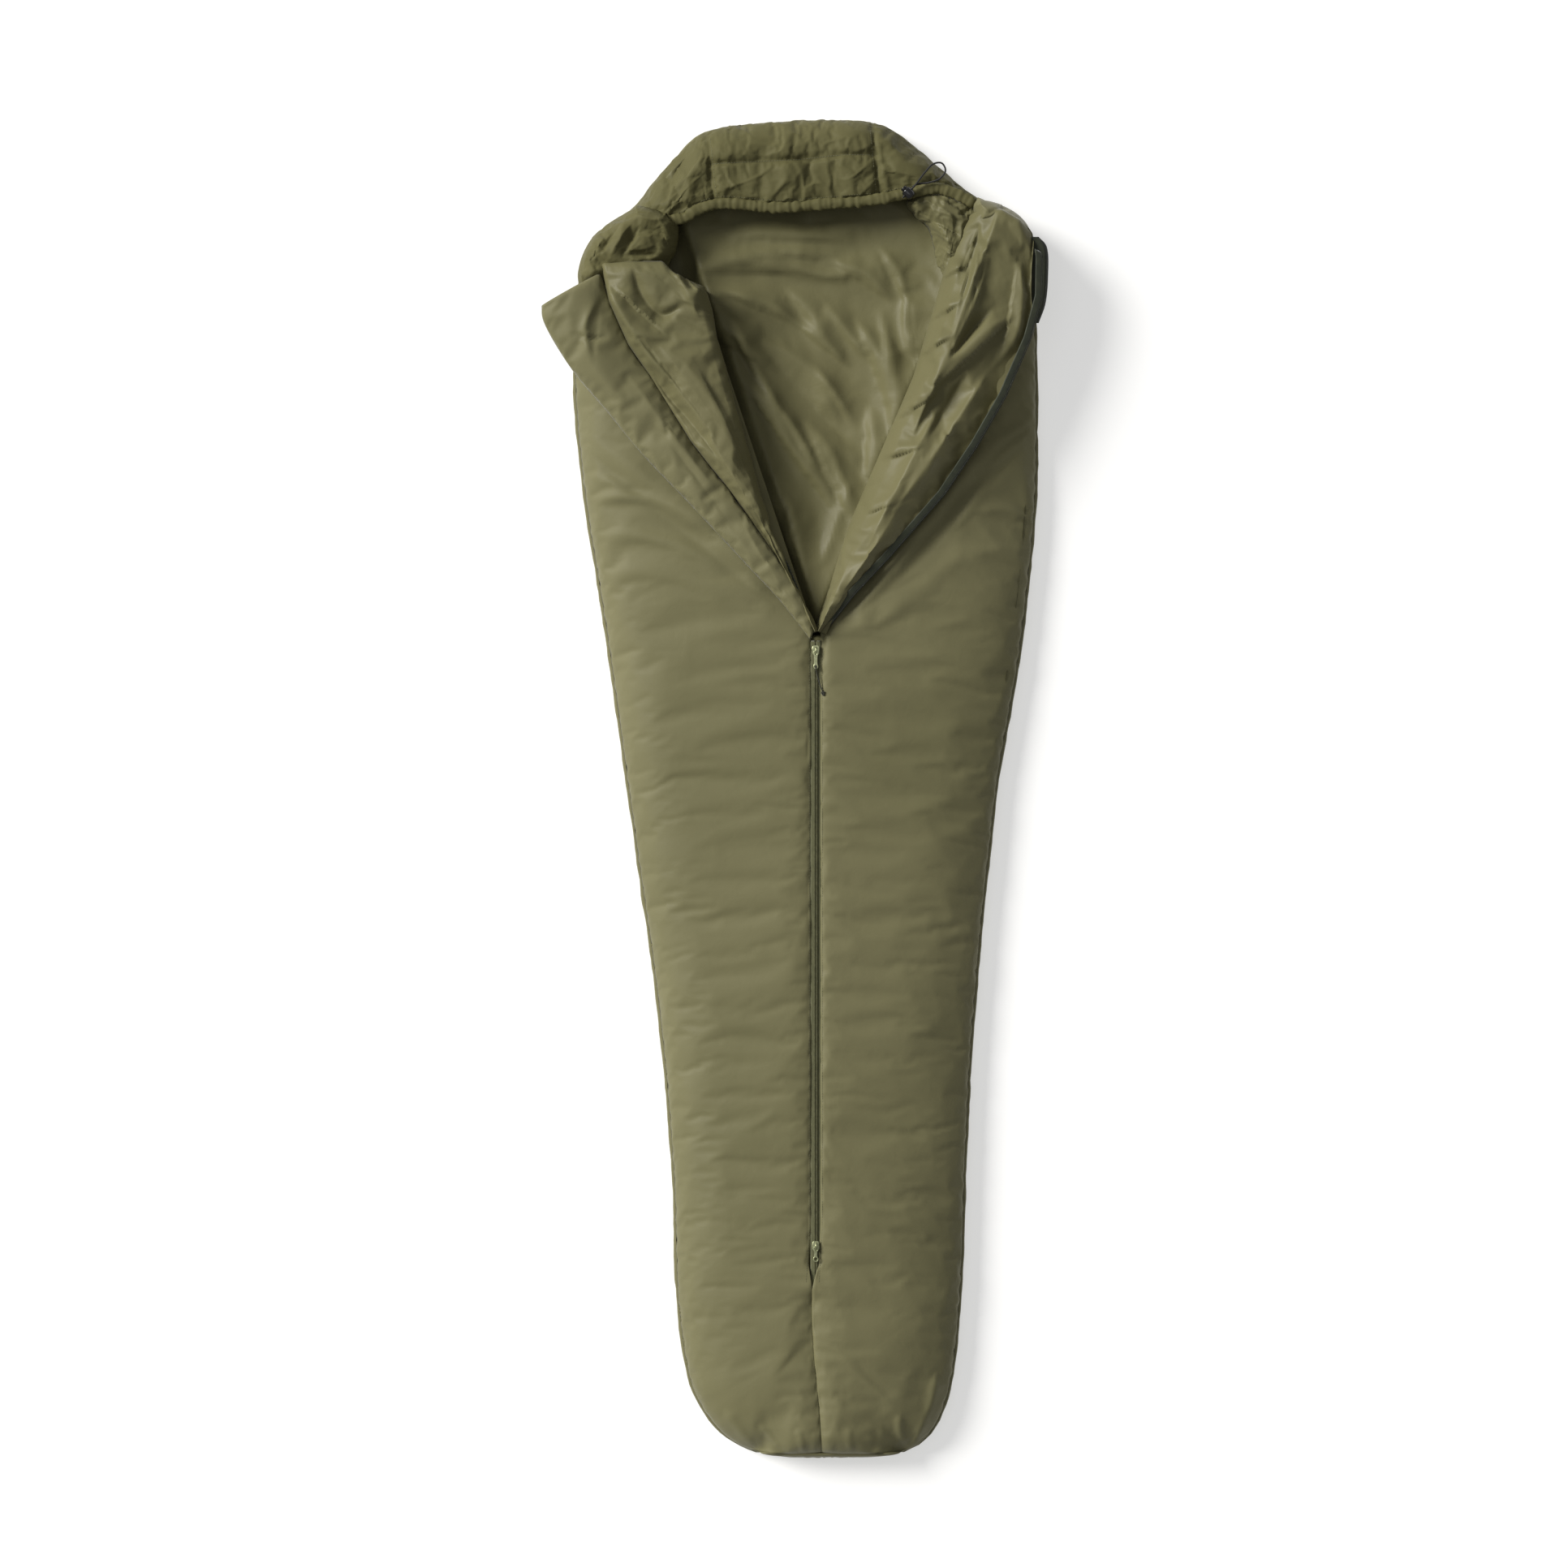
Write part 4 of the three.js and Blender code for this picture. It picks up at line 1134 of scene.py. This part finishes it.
def slider(name, y, nose):
    """The body of a zip slider; nose is +1 when its nose points to the hood and -1 to the foot."""
    half = [(-3.6, 8), (-5.6, 5.5), (-6.0, 1), (-5.2, -4), (-4.4, -7.4), (-2.6, -8)]
    outline = [(x, y + nose * v) for x, v in half + [(-x, v) for x, v in half[::-1]]]
    top = plate("top", [outline], 94.9, 96.3, 0.5)
    low = plate("low", [outline], 88.2, 90.0, 0.4)
    web = tube("web", [(0, y + nose * 6.5, z) for z in (89.5, 92.5, 95.5)], 0.3, 8)
    flange = ((4.6, -6.5), (5.1, 0), (4.7, 6))
    flanges = [tube("flange", spline([(side * x, y + v, 94.1) for x, v in flange], 12), 0.9, 8)
               for side in (-1, 1)]
    arch = [(-6.2, 95.8), (-5.6, 99.0), (-2.4, 100.3), (1.6, 100.0), (4.4, 98.3), (5.0, 95.8)]
    bail = tube("bail", spline([(0, y + v, z) for v, z in arch], 24), 0.95, 10)
    return merge(name, top, low, web, *flanges, bail)


PIN_Z = 98.3  # the pin that a pull turns about


def pull_tab(name, y, length, head, eye, waist):
    """A flat pull: an eye round the bail, a narrower body and an end with a hole."""
    foot = y - length
    outline = [(-2.0, y + 1.5), (-3.4, y - 0.2), (-3.6, y - 4.6), (-waist, y - 8.4), (-waist, foot + 2.1 * head),
               (-head, foot + 1.1 * head), (-head * 0.72, foot + 0.25 * head), (0, foot)]
    outline += [(-x, v) for x, v in outline[:-1]][::-1] + [(0, y + 2.0)]
    holes = [ellipse(0, y - 2.6, 1.9, 3.4), ellipse(0, foot + head * 1.05, eye, eye)]
    return plate(name, [closed_spline(outline, 110)] + holes, PIN_Z - 0.8, PIN_Z + 0.8, 0.35)


(x0, y0, z0), (x1, y1, z1) = (np.array(corner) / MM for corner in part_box("zip_end_stop"))
end_stop = plate("zip_end_stop_cast", [[(x0, y0), (x1, y0), (x1, y1), (x0, y1)]], z0, z1, 0.4)
upper_slider = slider("upper_slider_cast", 230, 1)
lower_slider = slider("lower_slider_cast", -744, -1)
upper_pull = pull_tab("upper_pull_stamped", 228, 29, 4.0, 2.2, 2.9)
lower_pull = pull_tab("lower_pull_stamped", -746, 24, 4.4, 2.9, 2.4)


def lathe(name, profile):
    """A turned shape about the local Y axis of the cord lock, from (radius, y) pairs."""
    sides = 40
    vertices = []
    for r, y in profile:
        for t in np.linspace(0, 2 * np.pi, sides, endpoint=False):
            x, z = r * math.cos(t), r * math.sin(t)
            vertices.append(LOCK + [(x - y) * ROOT_HALF, (x + y) * ROOT_HALF, z])
    return ringed(name, vertices, sides, flip=True)


def arc(r0, y0, r, start, end, count):
    """Profile points round (r0, y0), from one angle in degrees to another."""
    angles = np.radians(np.linspace(start, end, count))
    return [(r0 + r * math.cos(t), y0 + r * math.sin(t)) for t in angles]


def eyelet(x):
    """The rim of the cord's hole, at x along the bore."""
    ring = []
    for t in np.linspace(0, 2 * np.pi, 36, endpoint=False):
        w, h = 2.6 * math.cos(t), 4.1 * math.sin(t)
        ring.append(LOCK + [(x - w) * ROOT_HALF, (x + w) * ROOT_HALF, h])
    return tube("eyelet", ring, 0.8, 8, closed=True)


barrel_profile = [(2.0, -11)] + arc(3.2, -6.2, 4.8, -90, -10, 8) + [(8.4, -4.6), (8.7, 0), (8.4, 3.4)]
barrel_profile += arc(6.2, 4.4, 2.2, 0, 80, 6) + [(5.9, 6.9), (5.7, 1.9)]
button_profile = [(5.3, 5.2), (5.3, 9.6)] + arc(3.9, 10.2, 1.5, 0, 80, 6) + [(2.6, 11.6), (1.2, 11.2)]
barrel = merge("cord_lock_body", lathe("barrel", barrel_profile), eyelet(-8.2), eyelet(8.2))
button = lathe("cord_lock_plunger", button_profile)


# ---------- stitching, laid on the finished surfaces
def stitches(name, obj, line, pitch, length, width):
    """A row of thread stitches along a plan line, each lying on top of obj."""
    tree = BVHTree.FromObject(obj, bpy.context.evaluated_depsgraph_get())
    run = np.concatenate([[0], np.cumsum(np.linalg.norm(np.diff(line, axis=0), axis=1))])
    where = np.arange(pitch, run[-1] - pitch, pitch)
    line = np.stack([np.interp(where, run, line[:, k]) for k in (0, 1)], axis=1)
    centres, along = [], []
    for point, heading in zip(line, headings(line)):
        hit = tree.ray_cast(Vector((point[0] * MM, point[1] * MM, 0.2)), Vector((0, 0, -1)))[0]
        if hit is not None:
            centres.append((point[0], point[1], hit.z / MM + 0.15))
            along.append(heading)
    return bars(name, centres, along, [(-b, a) for a, b in along], length, width, width)


# ---------- materials
def node(tree, kind, inputs=None, **settings):
    """A shader node of that kind: a socket given as an input is linked, and any other value is set."""
    made = tree.nodes.new("ShaderNode" + kind)
    for key_name, value in settings.items():
        setattr(made, key_name, value)
    for slot, value in (inputs or {}).items():
        if isinstance(value, bpy.types.NodeSocket):
            tree.links.new(value, made.inputs[slot])
        else:
            made.inputs[slot].default_value = value
    return made


def noise(tree, place, scale, detail=3.0, rough=0.5, distortion=0.0, **settings):
    inputs = {"Vector": place, "Scale": scale, "Detail": detail, "Roughness": rough, "Distortion": distortion}
    return node(tree, "TexNoise", inputs, **settings).outputs["Fac"]


def bump(tree, height, strength, distance, under=None):
    """A bump over the normal under, if one is given."""
    inputs = {"Height": height, "Strength": strength, "Distance": distance}
    if under:
        inputs["Normal"] = under
    return node(tree, "Bump", inputs).outputs["Normal"]


def start_material(name, color, roughness, **sockets):
    made = bpy.data.materials.new(name)
    made.use_nodes = True
    bsdf = made.node_tree.nodes["Principled BSDF"]
    bsdf.inputs["Base Color"].default_value = (*color, 1)
    bsdf.inputs["Roughness"].default_value = roughness
    for slot, value in sockets.items():
        bsdf.inputs[slot.replace("_", " ")].default_value = value
    return made, made.node_tree, bsdf, node(made.node_tree, "TexCoord").outputs["Object"]


def mottle(tree, bsdf, place, light, dark, scale, detail=3.0):
    """Base colour that drifts between two tones."""
    drift = noise(tree, place, scale, detail)
    tone = node(tree, "MapRange", {"Value": drift, "From Min": 0.35, "From Max": 0.65}).outputs["Result"]
    mix = node(tree, "Mix", {"Factor": tone, "A": (*dark, 1), "B": (*light, 1)}, data_type="RGBA")
    tree.links.new(mix.outputs["Result"], bsdf.inputs["Base Color"])
    return mix.outputs["Result"]


def uneven(tree, bsdf, place, low, high, scale):
    """Roughness that varies between low and high."""
    patch = noise(tree, place, scale, 4.0)
    limits = {"From Min": 0.3, "From Max": 0.7, "To Min": low, "To Max": high}
    level = node(tree, "MapRange", {"Value": patch, **limits})
    tree.links.new(level.outputs["Result"], bsdf.inputs["Roughness"])


def bands(tree, place, pitch, direction):
    """A wave of that pitch in metres; the texture makes one band for each pi/10 of its scaled space."""
    return node(tree, "TexWave", {"Vector": place, "Scale": math.pi / 10 / pitch, "Distortion": 0.0},
                wave_type="BANDS", bands_direction=direction, wave_profile="SIN").outputs["Fac"]


def fabric(name, light, dark, pitch, roughness, sheen, turn, wrinkle, crumple=0.0010, gloss=0.18):
    """Woven nylon: crossing threads, small soft creases and a satin face. Its wrinkles lie along turn."""
    made, tree, bsdf, place = start_material(name, light, roughness[0], Sheen_Weight=sheen, Sheen_Roughness=0.45,
                                             Specular_IOR_Level=gloss)
    mottle(tree, bsdf, place, light, dark, 2.2)
    uneven(tree, bsdf, place, *roughness, 14.0)
    turned = node(tree, "Mapping", {"Vector": place, "Rotation": (0, 0, turn), "Scale": (1.0, 0.42, 1.0)})
    sharp = noise(tree, turned.outputs["Vector"], 13.0, 3.0, 0.5, 0.5, noise_type="RIDGED_MULTIFRACTAL")
    wrinkles = bump(tree, sharp, 1.0, wrinkle)
    creases = bump(tree, noise(tree, place, 34.0, 5.0, 0.55, 0.6), 0.55, crumple, wrinkles)
    weave = node(tree, "Math", {0: bands(tree, place, pitch, "X"), 1: bands(tree, place, pitch, "Y")},
                 operation="MULTIPLY")
    threads = bump(tree, weave.outputs[0], 0.35, 0.00008, creases)
    tree.links.new(threads, bsdf.inputs["Normal"])
    return made


def webbing(name, light, dark, pitch, direction="DIAGONAL"):
    """Ribbed woven tape or cord."""
    made, tree, bsdf, place = start_material(name, light, 0.55, Sheen_Weight=0.3, Sheen_Roughness=0.5,
                                             Specular_IOR_Level=0.3)
    tones = mottle(tree, bsdf, place, light, dark, 60.0)
    ribs = bands(tree, place, pitch, direction)
    # Painted shade: the base colour is darkened in the grooves between the ribs, where the bump is low.
    rib_groove_shade = node(tree, "Mix", {"Factor": 0.25, "A": tones, "B": ribs}, data_type="RGBA", blend_type="MULTIPLY")
    tree.links.new(rib_groove_shade.outputs["Result"], bsdf.inputs["Base Color"])
    uneven(tree, bsdf, place, 0.55, 0.72, 90.0)
    tree.links.new(bump(tree, ribs, 0.6, 0.00025), bsdf.inputs["Normal"])
    return made


def solid(name, light, dark, roughness, grain, depth, **sockets):
    """Moulded plastic, plated metal or thread: a fine grain and uneven gloss."""
    made, tree, bsdf, place = start_material(name, light, roughness[0], **sockets)
    mottle(tree, bsdf, place, light, dark, 220.0, 5.0)
    uneven(tree, bsdf, place, *roughness, 132.0)
    tree.links.new(bump(tree, noise(tree, place, grain), 0.4, depth), bsdf.inputs["Normal"])
    return made


shell_m = fabric("shell_nylon", (0.176, 0.165, 0.083), (0.156, 0.147, 0.072), 0.0006, (0.48, 0.60), sheen=0.10,
                 turn=1.45, wrinkle=0.0010)
hood_m = fabric("hood_nylon", (0.128, 0.119, 0.054), (0.108, 0.101, 0.044), 0.0006, (0.50, 0.62), sheen=0.0,
                turn=0.9, wrinkle=0.0035, crumple=0.0016, gloss=0.07)
lining_m = fabric("lining_nylon", (0.158, 0.147, 0.071), (0.136, 0.128, 0.060), 0.0005, (0.40, 0.52), sheen=0.05,
                  turn=-0.6, wrinkle=0.0065, crumple=0.0012)
zip_tape_m = webbing("zip_tape", (0.150, 0.150, 0.072), (0.118, 0.120, 0.056), 0.0011, "Y")
dark_tape_m = webbing("dark_tape", (0.040, 0.047, 0.024), (0.026, 0.032, 0.017), 0.0014)
coil_m = solid("zip_coil", (0.135, 0.134, 0.062), (0.090, 0.090, 0.042), (0.35, 0.50), 900.0, 0.00006)
dark_coil_m = solid("dark_zip_coil", (0.022, 0.026, 0.014), (0.012, 0.014, 0.009), (0.30, 0.45), 900.0, 0.00006)
metal_m = solid("slider_metal", (0.46, 0.48, 0.29), (0.34, 0.36, 0.20), (0.26, 0.42), 1400.0, 0.00004,
                Metallic=0.75)
plastic_m = solid("lock_plastic", (0.012, 0.012, 0.013), (0.007, 0.007, 0.008), (0.14, 0.30), 700.0, 0.00006,
                  Coat_Weight=0.4)
cord_m = webbing("cord_black", (0.014, 0.014, 0.013), (0.008, 0.008, 0.008), 0.0009)
pull_cord_m = webbing("cord_olive", (0.035, 0.036, 0.020), (0.020, 0.022, 0.012), 0.0007)
thread_m = solid("thread", (0.150, 0.146, 0.076), (0.120, 0.116, 0.060), (0.45, 0.60), 1500.0, 0.00005)
PAPER, PAPER_SHADE = (0.62, 0.62, 0.615), (0.60, 0.60, 0.595)
floor_m, *floor_nodes = start_material("floor_paper", PAPER, 0.9, Specular_IOR_Level=0.1,
                                       Emission_Color=(1, 1, 0.995, 1), Emission_Strength=0.52)
mottle(*floor_nodes, PAPER, PAPER_SHADE, 1.5)

seam_stitches = stitches("quilt_stitches", hood, quilt_line, 4.4, 3.2, 0.9)
hem_stitches = stitches("hem_stitches", hood, HEM[8:-8] + [0, 13], 4.2, 3.0, 0.8)
hood_seam_stitches = [stitches(f"hood_seam_stitches_{side}", hood, line[4:-6] + [shift, 0], 4.2, 3.0, 0.8)
                      for side, line, shift in (("left", hood_seams[0], 4.5), ("right", hood_seams[1], -4.5))]
placket_y = np.arange(-806, 236, 4.2)
placket_stitches = []
for side, panel, x in (("left", front_left, -10.5), ("right", front_right, 10.5)):
    line = np.column_stack([seam_x(placket_y) + x, placket_y])
    placket_stitches.append(stitches(f"placket_stitches_{side}", panel, line, 4.2, 2.9, 0.7))

FLOOR_HALF, FLOOR_Z = 60000, -0.6
corners = [(x * FLOOR_HALF, y * FLOOR_HALF, FLOOR_Z) for x, y in ((-1, -1), (1, -1), (1, 1), (-1, 1))]
floor = mesh_object("floor", corners, [(0, 1, 2, 3)], smooth=False)
floor.data.materials.append(floor_m)

# ---------- what each piece is made of, moves with and stands for
def layers(part, *names):
    return [f"{part}_{name}" for name in names]


PANEL_LAYERS = ("shell", "wadding", "lining")
HOOD_LAYERS = [f"hood_{side}_{layer}" for layer in ("shell", "wadding") for side in ("left", "centre", "right")]
PIECES = [  # piece, finish, body and the nodes it stands for; a lapel is given no body
    (back, shell_m, "sack", layers("back", "shell", "wadding")),
    (lining, lining_m, "sack", ["back_lining"]),
    (front_left, shell_m, "sack", layers("front_left", *PANEL_LAYERS)),
    (front_right, shell_m, "sack", layers("front_right", *PANEL_LAYERS)),
    (draft_tube, lining_m, "sack", ["zip_draft_tube"]),
    (foot, shell_m, "sack", ["foot_end_panel"]),
    (hood, hood_m, "sack", HOOD_LAYERS + ["hood_lining"]),
    (hem, hood_m, "sack", ["hood_hem_channel", "hood_drawcord"]),
    (collar_left, hood_m, "sack", ["collar_left"]),
    (collar_right, shell_m, "sack", ["collar_right"]),
    (neck, lining_m, "sack", ["neck_baffle"]),
    (tapes[0], zip_tape_m, "sack", ["zip_tape_left"]),
    (tapes[1], zip_tape_m, "sack", ["zip_tape_right"]),
    (chains[0], coil_m, "sack", ["zip_coil_left"]),
    (chains[1], coil_m, "sack", ["zip_coil_right"]),
    (end_stop, metal_m, "sack", ["zip_end_stop"]),
    (left_lapel, lining_m, None, layers("left_lapel", *PANEL_LAYERS)),
    (left_tape, dark_tape_m, "left_lapel", ["left_lapel_tape"]),
    (left_teeth, dark_coil_m, "left_lapel", ["left_lapel_coil"]),
    (flap, shell_m, "left_lapel", ["draft_flap"]),
    (right_lapel, lining_m, None, layers("right_lapel", *PANEL_LAYERS)),
    (right_tape, dark_tape_m, "right_lapel", ["right_lapel_tape"]),
    (right_teeth, dark_coil_m, "right_lapel", ["right_lapel_coil"]),
    (closure_tab, dark_tape_m, "right_lapel", ["closure_tab"]),
    (upper_slider, metal_m, "upper_slider", ["upper_slider_body"]),
    (lower_slider, metal_m, "lower_slider", ["lower_slider_body"]),
    (upper_pull, metal_m, "upper_pull", ["upper_slider_pull"]),
    (lower_pull, metal_m, "lower_pull", ["lower_slider_pull"]),
    (barrel, plastic_m, "cord_lock", ["cord_lock_barrel"]),
    (button, plastic_m, "lock_button", ["cord_lock_button"]),
    (drawcord, cord_m, "sack", ["drawcord_loop"]),
    (pull_cord, pull_cord_m, "upper_pull", ["upper_pull_cord"]),
    (knot, pull_cord_m, "upper_pull", []),
]
for row in (seam_stitches, hem_stitches, *hood_seam_stitches, *placket_stitches):
    PIECES.append((row, thread_m, "sack", []))
for piece, finish, body, nodes in PIECES:
    piece.data.materials.append(finish)
    if body:
        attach(piece, body)
    if nodes:
        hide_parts(*nodes)
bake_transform(left_lapel)
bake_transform(right_lapel)
